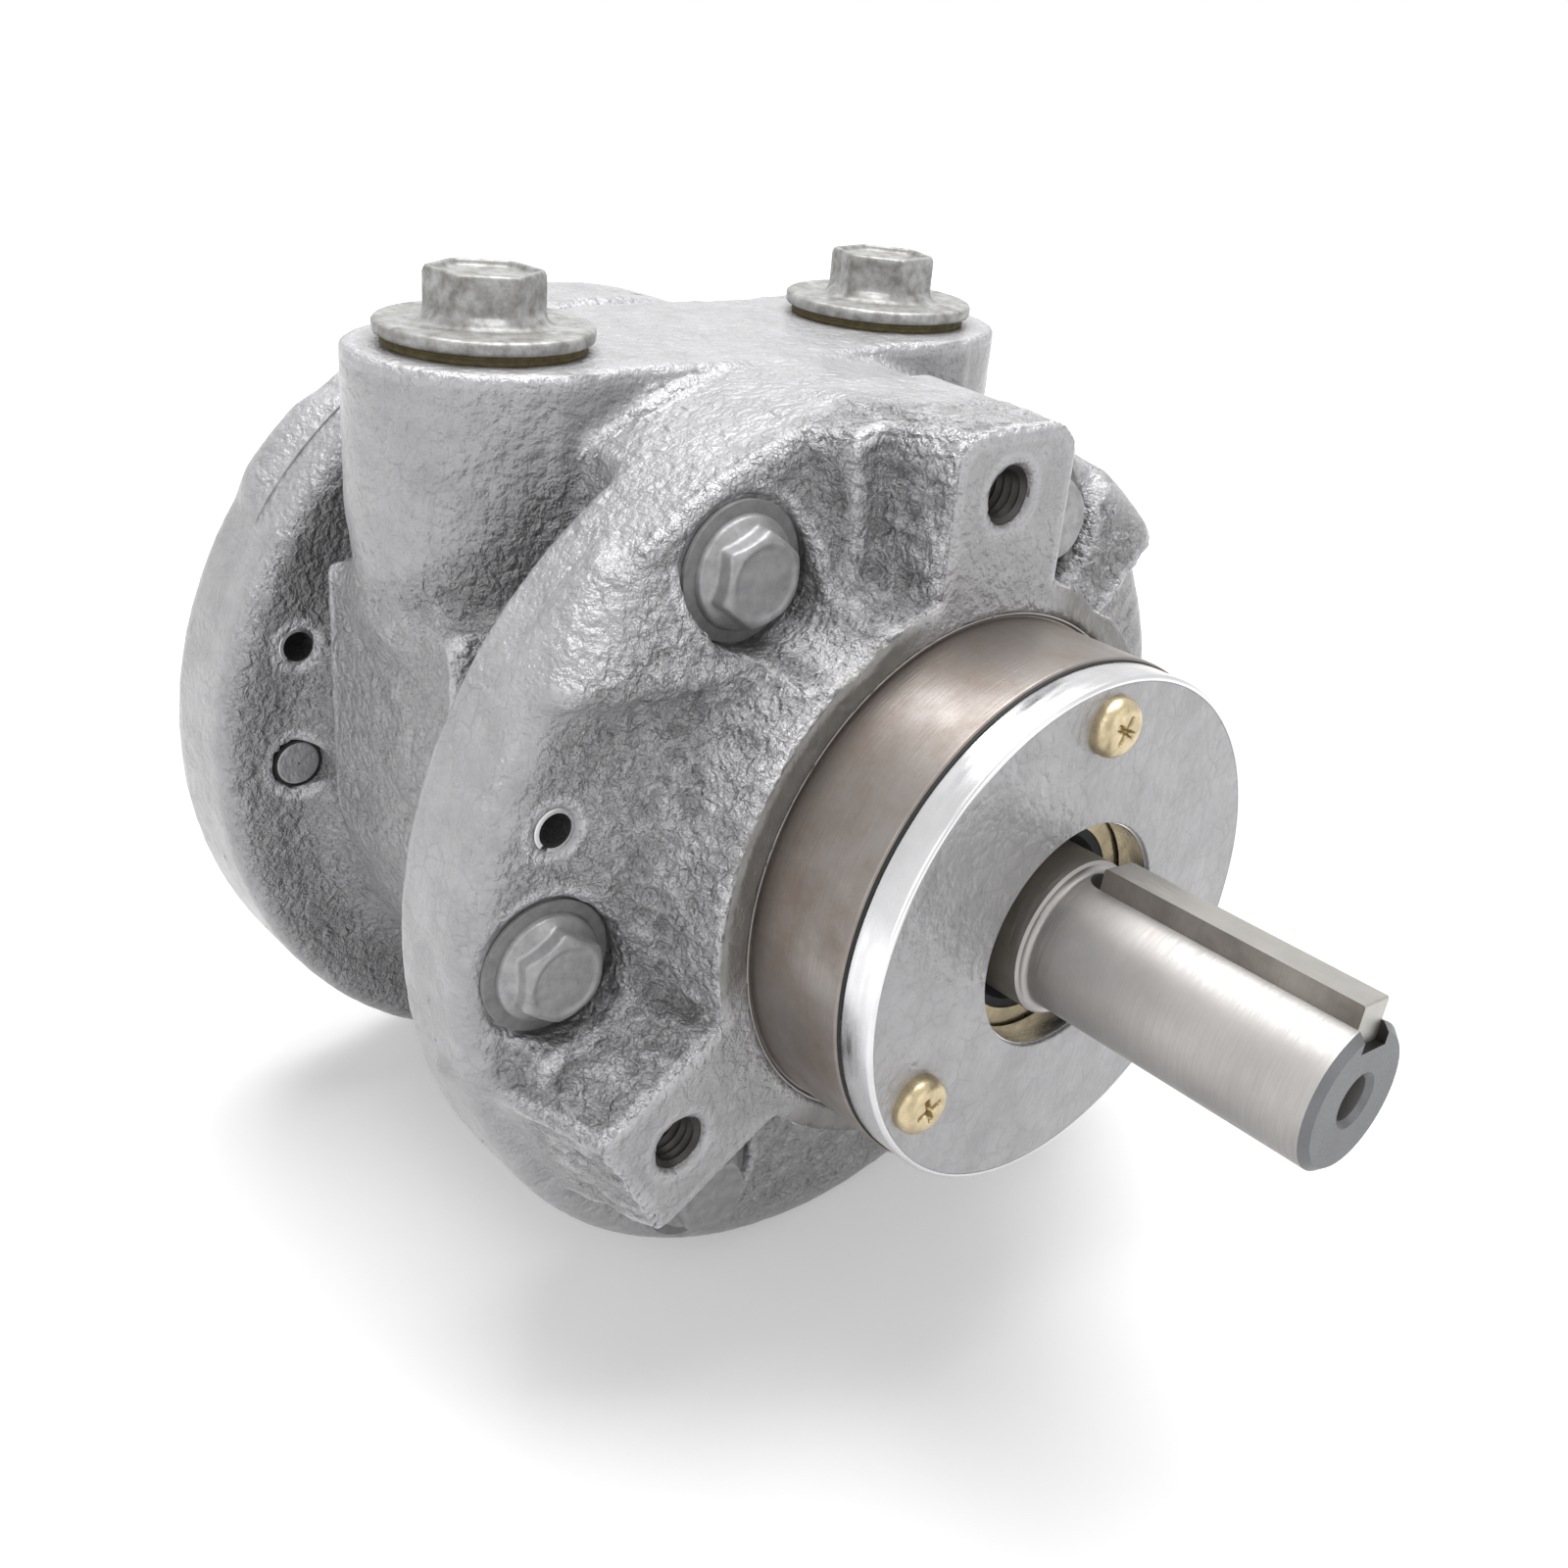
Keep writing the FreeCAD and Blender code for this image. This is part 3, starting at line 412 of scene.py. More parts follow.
class Finish:
    """One procedural material: a shader, its texture nodes and short ways to join them."""

    def __init__(self, name, metallic=0.0, roughness=0.5, specular=0.5, coat=0.0,
                 coat_roughness=0.1):
        self.material = bpy.data.materials.new(name)
        self.material.use_nodes = True
        self.tree = self.material.node_tree
        self.shader = self.tree.nodes["Principled BSDF"]
        self.shader.inputs["Metallic"].default_value = metallic
        self.shader.inputs["Roughness"].default_value = roughness
        self.shader.inputs["Specular IOR Level"].default_value = specular
        self.shader.inputs["Coat Weight"].default_value = coat
        self.shader.inputs["Coat Roughness"].default_value = coat_roughness
        self.place = self.tree.nodes.new("ShaderNodeTexCoord").outputs["Object"]

    def add(self, kind, **inputs):
        """New node with its inputs set or joined; names use _ for a space."""
        node = self.tree.nodes.new(kind)
        for label, value in inputs.items():
            socket = node.inputs[int(label[1:])] if label[0] == "i" and label[1:].isdigit() \
                else node.inputs[label.replace("_", " ")]
            self.join(value, socket)
        return node

    def join(self, value, socket):
        """Set a socket to a value, or join another node's output to it."""
        if isinstance(value, bpy.types.NodeSocket):
            self.tree.links.new(value, socket)
        elif isinstance(value, tuple) and len(value) == 3 and socket.type == "RGBA":
            socket.default_value = (*value, 1.0)
        else:
            socket.default_value = value

    def noise(self, size, detail=3.0, rough=0.5, stretch=(1, 1, 1)):
        """Noise with features about the given size in millimetres, from 0 to 1."""
        place = self.place
        if stretch != (1, 1, 1):
            place = self.add("ShaderNodeMapping", Vector=place, Scale=stretch).outputs[0]
        return self.add("ShaderNodeTexNoise", Vector=place, Scale=1 / (size * MM), Detail=detail,
                        Roughness=rough).outputs[0]

    def cells(self, size, warp=0.0):
        """Distance to the edges of irregular cells of the given size in millimetres."""
        place = self.place
        if warp:
            wave = self.add("ShaderNodeTexNoise", Vector=place, Scale=0.7 / (size * MM))
            shift = self.add("ShaderNodeVectorMath", i0=wave.outputs["Color"],
                             i1=(0.5, 0.5, 0.5))
            shift.operation = "SUBTRACT"
            scaled = self.add("ShaderNodeVectorMath", i0=shift.outputs[0])
            scaled.operation = "SCALE"
            scaled.inputs["Scale"].default_value = warp * size * MM
            total = self.add("ShaderNodeVectorMath", i0=place, i1=scaled.outputs[0])
            place = total.outputs[0]
        node = self.add("ShaderNodeTexVoronoi", Vector=place, Scale=1 / (size * MM))
        node.feature = "DISTANCE_TO_EDGE"
        return node.outputs["Distance"]

    def from_axis(self):
        """Distance from the shaft's axis in millimetres."""
        across = self.add("ShaderNodeVectorMath", i0=self.place, i1=(0.0, 1 / MM, 1 / MM))
        across.operation = "MULTIPLY"
        length = self.add("ShaderNodeVectorMath", i0=across.outputs[0])
        length.operation = "LENGTH"
        return length.outputs["Value"]

    def number(self, label):
        """Number kept on the piece's points."""
        node = self.tree.nodes.new("ShaderNodeAttribute")
        node.attribute_name = label
        return node.outputs["Fac"]

    def fit(self, value, low, high, start=0.0, end=1.0):
        """Value moved from one range to another and held inside it."""
        return self.add("ShaderNodeMapRange", Value=value, From_Min=low, From_Max=high,
                        To_Min=start, To_Max=end).outputs[0]

    def work(self, operation, a, b=0.0):
        """Result of one arithmetic step."""
        node = self.tree.nodes.new("ShaderNodeMath")
        node.operation = operation
        self.join(a, node.inputs[0])
        self.join(b, node.inputs[1])
        return node.outputs[0]

    def mix(self, amount, a, b):
        """Two colours mixed."""
        node = self.tree.nodes.new("ShaderNodeMix")
        node.data_type = "RGBA"
        self.join(amount, node.inputs[0])
        self.join(a, node.inputs[6])
        self.join(b, node.inputs[7])
        return node.outputs[2]

    def relief(self, height, depth, normal=None):
        """Normals of a height from 0 to 1, with its depth in millimetres."""
        node = self.add("ShaderNodeBump", Height=height, Distance=depth * MM, Strength=1.0)
        if normal is not None:
            self.join(normal, node.inputs["Normal"])
        return node.outputs[0]

    def done(self, color, roughness, normal):
        """Join the results to the shader and give the material back."""
        for value, label in ((color, "Base Color"), (roughness, "Roughness"), (normal, "Normal")):
            self.join(value, self.shader.inputs[label])
        return self.material


def casting_paint(settings):
    """Hammered silver-grey paint, thick over rough iron, with painted shade in the hollows and
    creases and painted highlights on the edges and high points.
    """
    skin = Finish("hammered_paint", metallic=0.28, roughness=0.4, specular=0.5, coat=0.3,
                  coat_roughness=0.22)
    paint = tuple(settings.paint)
    painted_shade = tuple(settings.painted_shade)
    coarse = skin.number("coarse")
    mottle = skin.noise(7.0, 5.0, 0.62)
    color = skin.mix(skin.fit(mottle, 0.34, 0.68), tuple(0.8 * c for c in paint), paint)
    net = skin.cells(3.6, 1.0)
    line = skin.work("SUBTRACT", 1.0, skin.fit(net, 0.0, 0.09))
    faint = skin.fit(skin.noise(12.0, 2.0), 0.40, 0.66, 0.05, 0.6)
    color = skin.mix(skin.work("MULTIPLY", line, faint), color, tuple(0.66 * c for c in paint))
    height = skin.number("skin")
    # Painted shade in the low parts of the skin relief, and painted highlight on its high parts
    color = skin.mix(skin.fit(height, -0.12, -0.9, 0.0, 0.5), color, painted_shade)
    color = skin.mix(skin.fit(height, 0.25, 0.9, 0.0, 0.6), color,
                     tuple(min(1.0, 1.5 * c) for c in paint))
    leather = skin.cells(2.6, 1.6)
    # Painted shade in the grooves between the leather cells, on coarse skin
    crack = skin.work("SUBTRACT", 1.0, skin.fit(leather, 0.0, 0.12))
    crack = skin.work("MULTIPLY", crack, skin.fit(coarse, 0.25, 1.0, 0.0, 0.35))
    color = skin.mix(crack, color, painted_shade)
    # Painted shade in the hollows, where walls hem the surface in
    color = skin.mix(skin.fit(skin.number("hollow"), 0.12, 1.0, 0.0, 0.62), color, painted_shade)
    # Painted highlight on the edges, strongest on coarse skin
    edge = skin.work("MULTIPLY", skin.fit(skin.number("edge"), 0.06, 0.3, 0.0, 0.6),
                     skin.fit(coarse, 0.05, 0.5, 0.1, 1.0))
    color = skin.mix(edge, color, tuple(min(1.0, 1.75 * c) for c in paint))
    bare = skin.work("MULTIPLY", skin.number("bare"),
                     skin.fit(skin.from_axis(), RING_RADIUS, RING_RADIUS + 0.2, 1.0, 0.0))
    color = skin.mix(bare, color,
                     skin.mix(skin.noise(3.0), (0.13, 0.122, 0.115), (0.25, 0.24, 0.225)))
    swell = skin.work("ABSOLUTE", skin.work("SUBTRACT", skin.noise(3.4, 4.0, 0.6), 0.5))
    grain = skin.noise(1.3, 3.0, 0.6, (0.6, 1.0, 1.0))
    bumps = skin.work("ADD", skin.work("MULTIPLY", swell, -3.2),
                      skin.work("MULTIPLY", grain, 1.0))
    bumps = skin.work("ADD", bumps, skin.work("MULTIPLY", skin.fit(leather, 0.0, 0.3), 0.35))
    bumps = skin.work("MULTIPLY", bumps, skin.fit(coarse, 0.0, 1.0, 0.08, 1.0))
    bumps = skin.work("MULTIPLY", bumps, skin.work("SUBTRACT", 1.0, bare))
    normal = skin.relief(bumps, 1.6)
    normal = skin.relief(skin.fit(net, 0.0, 0.35), 0.12, normal)
    normal = skin.relief(skin.noise(1.7, 3.0, 0.6, (1.0, 1.0, 0.6)), 0.3, normal)
    rough = skin.fit(skin.noise(5.0, 3.0), 0.3, 0.7, 0.32, 0.48)
    return skin.done(color, rough, normal)


def bare_casting(name, tone, stain, roughness=0.42):
    """Turned grey iron with fine tool marks and brownish stains."""
    skin = Finish(name, metallic=0.85, roughness=roughness, specular=0.5)
    marks = skin.noise(0.35, 3.0, 0.5, (1.0, 0.05, 0.05))
    cloud = skin.noise(11.0, 5.0, 0.6)
    color = skin.mix(skin.fit(cloud, 0.36, 0.66), tone, stain)
    color = skin.mix(skin.fit(marks, 0.3, 0.7, 0.0, 0.3), color, tuple(0.7 * c for c in tone))
    spots = skin.noise(1.6, 4.0, 0.7)
    color = skin.mix(skin.fit(spots, 0.62, 0.75, 0.0, 0.4), color, tuple(0.55 * c for c in stain))
    return skin.done(color, skin.fit(cloud, 0.3, 0.7, roughness - 0.08, roughness + 0.12),
                     skin.relief(marks, 0.03))


def ground_steel(name, tone, roughness=0.28, lines=(1.0, 0.04, 0.04)):
    """Ground steel with fine lines round the axis and light handling marks."""
    skin = Finish(name, metallic=1.0, roughness=roughness)
    marks = skin.noise(0.25, 2.0, 0.5, lines)
    cloud = skin.noise(14.0, 4.0, 0.6)
    color = skin.mix(skin.fit(cloud, 0.35, 0.7), tone, tuple(0.82 * c for c in tone))
    color = skin.mix(skin.fit(marks, 0.3, 0.7, 0.0, 0.14), color, tuple(0.7 * c for c in tone))
    return skin.done(color, skin.fit(marks, 0.3, 0.7, roughness - 0.05, roughness + 0.1),
                     skin.relief(marks, 0.006))


def plated(name, tone, stain, roughness=0.32, metallic=0.9):
    """Zinc plating with a faint colour play and small dark marks."""
    skin = Finish(name, metallic=metallic, roughness=roughness)
    cloud = skin.noise(2.4, 4.0, 0.6)
    color = skin.mix(skin.fit(cloud, 0.35, 0.66), tone, stain)
    specks = skin.noise(0.7, 3.0, 0.6)
    color = skin.mix(skin.fit(specks, 0.6, 0.75, 0.0, 0.35), color, tuple(0.5 * c for c in stain))
    return skin.done(color, skin.fit(cloud, 0.3, 0.7, roughness - 0.06, roughness + 0.1),
                     skin.relief(specks, 0.03))


def matt(name, tone, shade, size=1.2, roughness=0.75):
    """Dull fibre, laminate or rubber with a fine grain."""
    skin = Finish(name, roughness=roughness, specular=0.3)
    grain = skin.noise(size, 5.0, 0.65)
    color = skin.mix(skin.fit(grain, 0.32, 0.7), tone, shade)
    return skin.done(color, skin.fit(grain, 0.3, 0.7, roughness - 0.08, roughness + 0.1),
                     skin.relief(grain, 0.05))


# The castings

PLATE_FACE = -19.2           # drive plate's face, where it meets the hub's foot
FACE_FALL = 1.6
RING_RADIUS = 46.8
HUB_RADIUS, HUB_BORE = 41.4, 26.05
FALL_START, FALL_REACH = 53.5, 22.5
PAD_ANGLES = (90.0, 210.0, 330.0)
PAD_HOLES = [polar(60.3, degrees) for degrees in PAD_ANGLES]
LEDGE_X = -13.4              # step beside each pad
THREAD_TURNS, THREAD_PITCH = 9, 1.5
BOLTS = [polar(62.7, degrees, BORE_Z) for degrees in (0.0, 60.0, 120.0, 180.0, 240.0, 300.0)]
OPEN_BOLTS = [BOLTS[k] for k in (0, 3, 4, 5)]   # whose ends show between the flanges
BOLT_RADIUS = 4.0
SPOTFACE = 10.6
SPOTFACE_X = PLATE_FACE - 0.9
SMOOTH = 0.16                # how coarse the skin is on rims and machined faces
DOWELS = [polar(65.4, degrees, BORE_Z) for degrees in (160.7, 340.7)]
DOWEL_BORE, DOWEL_RADIUS = 2.65, 3.4
BARREL_RADIUS = 58.0
BORE_RADIUS = 50.0
FLANGE = 8.8
PORT_X, PORT_Y, BOSS_RADIUS = -72.0, 41.4, 21.5
REAR_FACE = -120.0
REAR_SEAT_X = REAR_FACE + 2.5
KEY_ANGLE, KEYWAY_START = 84.0, 28.0
RIDGE_X = -13.6              # crest of the drive plate's two knobs

# The studio view
CAMERA_PLACE = (0.14417, -0.17423, 0.12132)
CAMERA_ANGLES = (46.72, 25.95, 5.4)   # turn, lift and roll in degrees
FLOOR_LIFT = 0.27            # light added to the floor beside the motor, for the camera alone


def lobe(x, y, z, degrees, half, reach, crest_x, crest_r, rim_x):
    """Rounded knob that swells out of the rear plate towards its rim."""
    turn = math.radians(degrees)
    dz = z - BORE_Z
    out = y * math.cos(turn) + dz * math.sin(turn)
    side = np.abs(-y * math.sin(turn) + dz * math.cos(turn)) - half
    fall = (out - crest_r) * ((rim_x - crest_x) / (reach - crest_r))
    top = (crest_x - x + np.maximum(fall, 0)) * 0.9
    lean = np.hypot(y, dz) - RIM_RADIUS + 0.2 - 0.4 * (BODY_REAR - x)
    plan = both(both(side, out - reach, 6.0), lean, 1.5)
    return np.maximum(both(plan, top, 4.5), 30 - out)


def ridge(x, y, z, side, slope, flank, edge):
    """Knob of the drive plate: its top falls away from a crest line, steeply on the other side.

    side is the distance from the crest line, towards the gentle side, where the top falls by
    slope for each millimetre.
    """
    rim = from_bore(y, z)
    fall = slope * (side + 0.35 * np.maximum(rim - 60, 0)) + 1.6 * np.maximum(side - 14, 0)
    top = (x - RIDGE_X + fall) * 0.94
    steep = (-side - flank * (RIDGE_X - x)) / math.hypot(1, flank)
    reach = both(rim - 77.3, rim - RIM_RADIUS + 0.4 - 0.6 * (x - BODY_FRONT), 1.0)
    return np.maximum(both(both(top, steep, edge), reach, 4.5), 40 - rim)


def from_bore(y, z):
    """Distance from the bore's axis."""
    return np.hypot(y, z - BORE_Z)


def around(y, z):
    """Angle in degrees round the bore's axis, from -180 to 180."""
    return np.degrees(np.arctan2(z - BORE_Z, y))


def drive_plate_field(x, y, z):
    """Cast drive plate: disc, hub's foot, knobs, pads with their ledges, seats and holes."""
    r = np.hypot(y, z)
    rim = from_bore(y, z)
    angle = around(y, z)
    face = x - PLATE_FACE + FACE_FALL * np.clip((rim - FALL_START) / FALL_REACH, 0, 1)
    crest = ramp(angle, 88, 98) * (1 - ramp(angle, 126, 136))
    soft, crisp = both(rim - RIM_RADIUS, face, 4.2), both(rim - RIM_RADIUS, face, 1.3)
    solid = soft + crest * (crisp - soft)
    drop = np.clip(-x, 0, 30)
    wall = RING_RADIUS + 0.12 * drop + 0.78 * np.maximum(drop - 12, 0)
    foot = both((r - wall) * 0.85, x, 0.35)
    solid = either(solid, foot, 6.0)
    right = -y * math.sin(math.radians(40)) + (z - BORE_Z) * math.cos(math.radians(40))
    left = (z - 34.5) * 0.993 + (y + 38.2) * 0.118
    solid = either(solid, np.maximum(ridge(x, y, z, right, 0.2, 0.35, 0.5), -y), 1.0)
    solid = either(solid, np.maximum(ridge(x, y, z, left, 0.42, 0.8, 2.0), y), 2.5)
    solid = np.maximum(solid, rim - RIM_RADIUS - 0.6 * (x - BODY_FRONT))
    for degrees, shift, corner, draft, bend in zip(PAD_ANGLES, (1.0, 0, 0), (5.0, 1.6, 1.6),
                                                   (0.0, 0.26, 0.26), (3.0, 9.0, 9.0)):
        turn = math.radians(degrees)
        out = y * math.cos(turn) + z * math.sin(turn)
        side = -y * math.sin(turn) + z * math.cos(turn)
        wide = np.abs(side + shift) - 11.8 - 0.4 * shift - 0.13 * drop
        plan = both(wide, (out - 69.8 - draft * drop) * 0.97, corner)
        pad = np.maximum(both(plan, x, 0.45), 30 - out)
        wide = np.abs(side) - 15.6 - 0.14 * np.clip(out - 51, 0, 20)
        wide = (wide - 0.5 * np.clip(drop + LEDGE_X, 0, 7)) * 0.88
        step = both(both(wide, np.maximum(rim - RIM_RADIUS, out - 70.6), bend), x - LEDGE_X, 0.5)
        solid = either(solid, either(pad, np.maximum(step, 36 - out), 0.8), 1.2)
    solid = np.maximum(solid, x)
    for cy, cz in BOLTS:
        cut = both(rod(y, z, cy, cz, SPOTFACE + 0.3), SPOTFACE_X - 0.8 - x)
        solid = without(solid, cut, 1.3)
    for cy, cz in DOWELS:
        solid = without(solid, rod(y, z, cy, cz, 3.2), 0.2)
    for cy, cz in PAD_HOLES:
        solid = without(solid, np.maximum(rod(y, z, cy, cz, 4.45), -19 - x), 0.25)
    return np.maximum(np.maximum(solid, BODY_FRONT - x), 42.2 - r)


def drive_plate_roughness(x, y, z):
    """Coarse skin on the drive plate's face and walls, smooth on its rim and machined faces."""
    r = np.hypot(y, z)
    rim = from_bore(y, z)
    angle = around(y, z)
    crest = ramp(angle, 88, 98) * (1 - ramp(angle, 126, 136))
    coarse = SMOOTH + (0.75 - SMOOTH) * (1 - ramp(rim, 68.0, 74.0))
    coarse = coarse + 0.55 * ramp(x, -18.5, -14.5) * ramp(r, 46.0, 48.0)
    coarse = coarse + 0.7 * crest * ramp(rim, 70, 73) * ramp(x, -25, -21)
    coarse = coarse - (coarse - SMOOTH) * ramp(x, -0.9, -0.3)
    ledge = between(np.abs(y), 13.2, 18.5)
    coarse = coarse * np.where((ledge < 0) & (z > 44) & (x > -15.5) & (x < -11.5), 0.45, 1)
    for cy, cz in BOLTS:
        floor = 1 - ramp(x, SPOTFACE_X - 0.2, SPOTFACE_X + 1.5)
        coarse = coarse * (1 - floor * (1 - ramp(np.hypot(y - cy, z - cz), 10.9, 12.0)))
    for cy, cz in DOWELS:
        coarse = coarse * ramp(np.hypot(y - cy, z - cz), 3.3, 5.0)
    for cy, cz in PAD_HOLES:
        coarse = coarse * ramp(np.hypot(y - cy, z - cz), 4.2, 5.5)
    return coarse


def drive_plate_wear(x, y, z):
    """Where the ring round the hub is worn to a dull brownish grey, clear of the pads."""
    worn = ramp(x, -1.6, -0.9) * (1 - ramp(np.hypot(y, z), 48.0, 49.5))
    for degrees in PAD_ANGLES:
        turn = math.radians(degrees)
        side = np.abs(-y * math.sin(turn) + z * math.cos(turn))
        ahead = y * math.cos(turn) + z * math.sin(turn)
        worn = worn * np.where(ahead > 0, ramp(side, 10, 20), 1)
    return worn


def body_field(x, y, z):
    """Cast body: barrel, flanges, deck, port bosses and shoulders."""
    rim = from_bore(y, z)
    inner_front, inner_rear = BODY_FRONT - FLANGE, BODY_REAR + FLANGE
    front = both(rim - RIM_RADIUS, inner_front - x, 2.6)
    rear = both(rim - RIM_RADIUS, x - inner_rear, 4.2)
    solid = rim - BARREL_RADIUS
    solid = either(either(solid, front, 7.0), rear, 8.0)
    deck = np.maximum(rim - RIM_RADIUS, z - DECK_Z)
    cheek = np.abs(y) - 38.6 - 0.12 * np.clip(58 - z, 0, 40)
    deck = np.maximum(both(both(cheek, deck, 1.2), -x - 95.0), -z)
    bridge = both(np.maximum(np.abs(x - PORT_X) - BOSS_RADIUS, np.abs(y) - PORT_Y), z - DECK_Z, 1.0)
    bridge = np.maximum(bridge, -z)
    boss = both(post(x, np.abs(y), PORT_X, PORT_Y, BOSS_RADIUS - 0.12 * np.clip(45 - z, 0, 20)),
                z - DECK_Z, 0.9)
    boss = both(boss, 24.0 + 0.25 * (62 - np.abs(y)) - z, 2.5)
    side = np.abs(y) - 59.2 + 0.02 * np.clip(-8 - z, 0, 20) ** 2
    slab = both(np.maximum(side, between(x, -91.0, -50.5)), z - 32.0, 2.0)
    slab = np.maximum(slab, -z - 26)
    solid = np.maximum(either(either(solid, deck, 3.0), slab, 0.8), rim - RIM_RADIUS)
    solid = either(either(solid, bridge, 3.0), boss, 4.0)
    solid = np.maximum(solid, z - DECK_Z)
    solid = without(solid, rim - BORE_RADIUS)
    for side in (-1, 1):
        solid = without(solid, np.maximum(post(x, y, PORT_X, side * PORT_Y, 13.0), 50.0 - z), 0.6)
    for cy, cz in DOWELS:
        hole = np.maximum(rod(y, z, cy, cz, 3.0), -between(x, inner_rear + 1, inner_front - 1))
        solid = without(solid, hole, 0.3)
    for cy, cz in OPEN_BOLTS:
        near = np.minimum(between(x, inner_rear - 1.6, inner_rear + 5),
                          between(x, inner_front - 5, inner_front + 1.6))
        solid = without(solid, np.maximum(rod(y, z, cy, cz, 4.6), near), 0.3)
    return np.maximum(solid, between(x, BODY_REAR, BODY_FRONT))


def body_roughness(x, y, z):
    """Skin of the body: fairly even on the outside, smooth where it is machined."""
    rim = from_bore(y, z)
    coarse = np.where(rim < BORE_RADIUS + 0.5, 0.0, 0.34)
    coarse = coarse * (1 - 0.6 * ramp(z, DECK_Z - 0.8, DECK_Z - 0.2))
    inner = ramp(x, BODY_REAR + FLANGE - 2, BODY_REAR + FLANGE) * \
        (1 - ramp(x, BODY_FRONT - FLANGE, BODY_FRONT - FLANGE + 2))
    coarse = coarse + 0.25 * inner * (1 - ramp(rim, 73, 75.5))
    coarse = coarse + (SMOOTH - coarse) * ramp(rim, 74.5, 75.8)
    faces = ramp(BODY_FRONT - x, 0.0, 0.2) * ramp(x - BODY_REAR, 0.0, 0.2)
    return coarse * np.where(rim < 74, faces, 1)


def flash_field(x, y, z):
    """Folded ridge that the mould's joint left across the deck's front corner."""
    angle = around(y, z)
    wander = 0.6 * np.sin(0.5 * angle) + 0.25 * np.sin(1.1 * angle + 1)
    thick = 0.85 + 0.65 * ramp(-angle, -115, -108) + 0.16 * np.sin(1.3 * angle)
    thick = thick * ramp(angle, 102.5, 105.0) * ramp(-angle, -124, -118)
    rim = from_bore(y, z)
    high = rim - RIM_RADIUS + 0.2
    fold = np.hypot((x + 48.8 + wander) * 0.8, high) - thick
    fold = either(fold, np.hypot((x + 46.4 + wander) * 1.1, high + 0.3) - 0.55 * thick, 0.2)
    return np.maximum(fold, rim - RIM_RADIUS - 1.5)


def rear_plate_field(x, y, z):
    """Cast rear plate: disc, low boss, lobes, spotfaces and the bearing pocket."""
    r = np.hypot(y, z)
    rim = from_bore(y, z)
    solid = both(rim - RIM_RADIUS, REAR_FACE - x, 4.4)
    boss = both(r - 30 - 0.9 * np.clip(x - REAR_BOSS_X, 0, 6), REAR_BOSS_X - x, 0.8)
    solid = either(solid, boss, 1.5)
    for degrees in (43.0, 137.0):
        knob = lobe(x, y, z, degrees, 10.5, 79.4, REAR_FACE - 3.0, 60.0, -115.0)
        solid = either(solid, knob, 4.0)
    solid = np.maximum(solid, rim - RIM_RADIUS - 0.6 * (BODY_REAR - x))
    for cy, cz in BOLTS:
        cut = both(rod(y, z, cy, cz, SPOTFACE + 0.3), x - REAR_SEAT_X - 0.8)
        solid = without(solid, cut, 0.35)
    for cy, cz in DOWELS:
        solid = without(solid, rod(y, z, cy, cz, 3.2), 0.2)
    pocket = np.maximum(r - 24.0, x - REAR_BOSS_X - 2.2)
    solid = without(solid, pocket, 0.3)
    return np.maximum(np.maximum(solid, x - BODY_REAR), 20.0 - r)


def rear_plate_roughness(x, y, z):
    """Skin of the rear plate, smooth in the spotfaces and on the boss."""
    coarse = 0.6 - (0.6 - SMOOTH) * ramp(from_bore(y, z), 68.0, 73.0)
    coarse = coarse * (1 - ramp(REAR_FACE - x, 3.2, 4.0))
    for cy, cz in BOLTS:
        coarse = coarse * ramp(np.hypot(y - cy, z - cz), 10.9, 12.2)
    return coarse * ramp(BODY_REAR - x, 0.0, 0.2) * (np.hypot(y, z) > 24.5)


# Hardware shapes

def hexagon(u, v, flats):
    """Field of an endless hexagonal bar across two coordinates."""
    u, v = np.abs(u), np.abs(v)
    return np.maximum(v - flats / 2, 0.8660254 * u + 0.5 * v - flats / 2)


def bolt_field(x, y, z):
    """Flanged hexagon head and shank; x runs outward from the seat, in millimetres."""
    r = np.hypot(y, z)
    flange = both(r - 8.6 + 0.3 * np.clip(x, 0, 3), x - 1.25, 0.45)
    skirt = np.maximum(r - 8.2 + 1.4 * np.clip(x - 1.0, 0, 2), x - 2.0)
    head = both(hexagon(y, z, 12.7), x - 5.2, 0.3)
    head = both(head, r - 7.3 + 1.15 * np.clip(x - 4.1, 0, 2), 0.25)
    solid = either(either(flange, skirt, 0.4), head, 0.5)
    solid = without(solid, np.maximum(r - 5.2, 5.0 - x), 0.15)
    return np.maximum(solid, -0.3 - x)


def plug_field(x, y, z):
    """Hexagon plug with a wide flange and a shallow recess; z runs up from its seat."""
    r = np.hypot(x, y)
    flange = both(r - 16.8, np.maximum(z - 2.2, -z), 0.55)
    skirt = np.maximum(r - 9.9 + 0.55 * np.clip(z - 2.0, 0, 3), z - 3.6)
    head = both(hexagon(x, y, 16.3), z - 9.9, 0.3)
    head = both(head, r - 9.4 + 0.9 * np.clip(z - 9.2, 0, 1), 0.25)
    solid = either(either(flange, skirt, 0.8), head, 0.7)
    recess = both(hexagon(x, y, 13.8), 8.9 - z)
    solid = without(solid, recess, 0.3)
    shank = np.maximum(r - 12.95, z - 1.0)
    return np.maximum(either(solid, shank), -5.0 - z)


def screw_field(x, y, z):
    """Pan head with a cross recess; x runs outward from the cover."""
    r = np.hypot(y, z)
    dome = np.hypot(np.maximum(x - 0.9, 0) * 1.55, r) - 4.5
    head = np.maximum(both(dome, x - 2.9, 0.5), -0.4 - x)
    arm = np.minimum(np.maximum(np.abs(y) - 0.55, np.abs(z) - 2.3),
                     np.maximum(np.abs(z) - 0.55, np.abs(y) - 2.3))
    taper = 0.5 * np.clip(2.9 - x, 0, 2)
    cross = np.maximum(arm + taper * 0.6, 1.3 - x)
    return without(head, cross, 0.18)


# Add-on

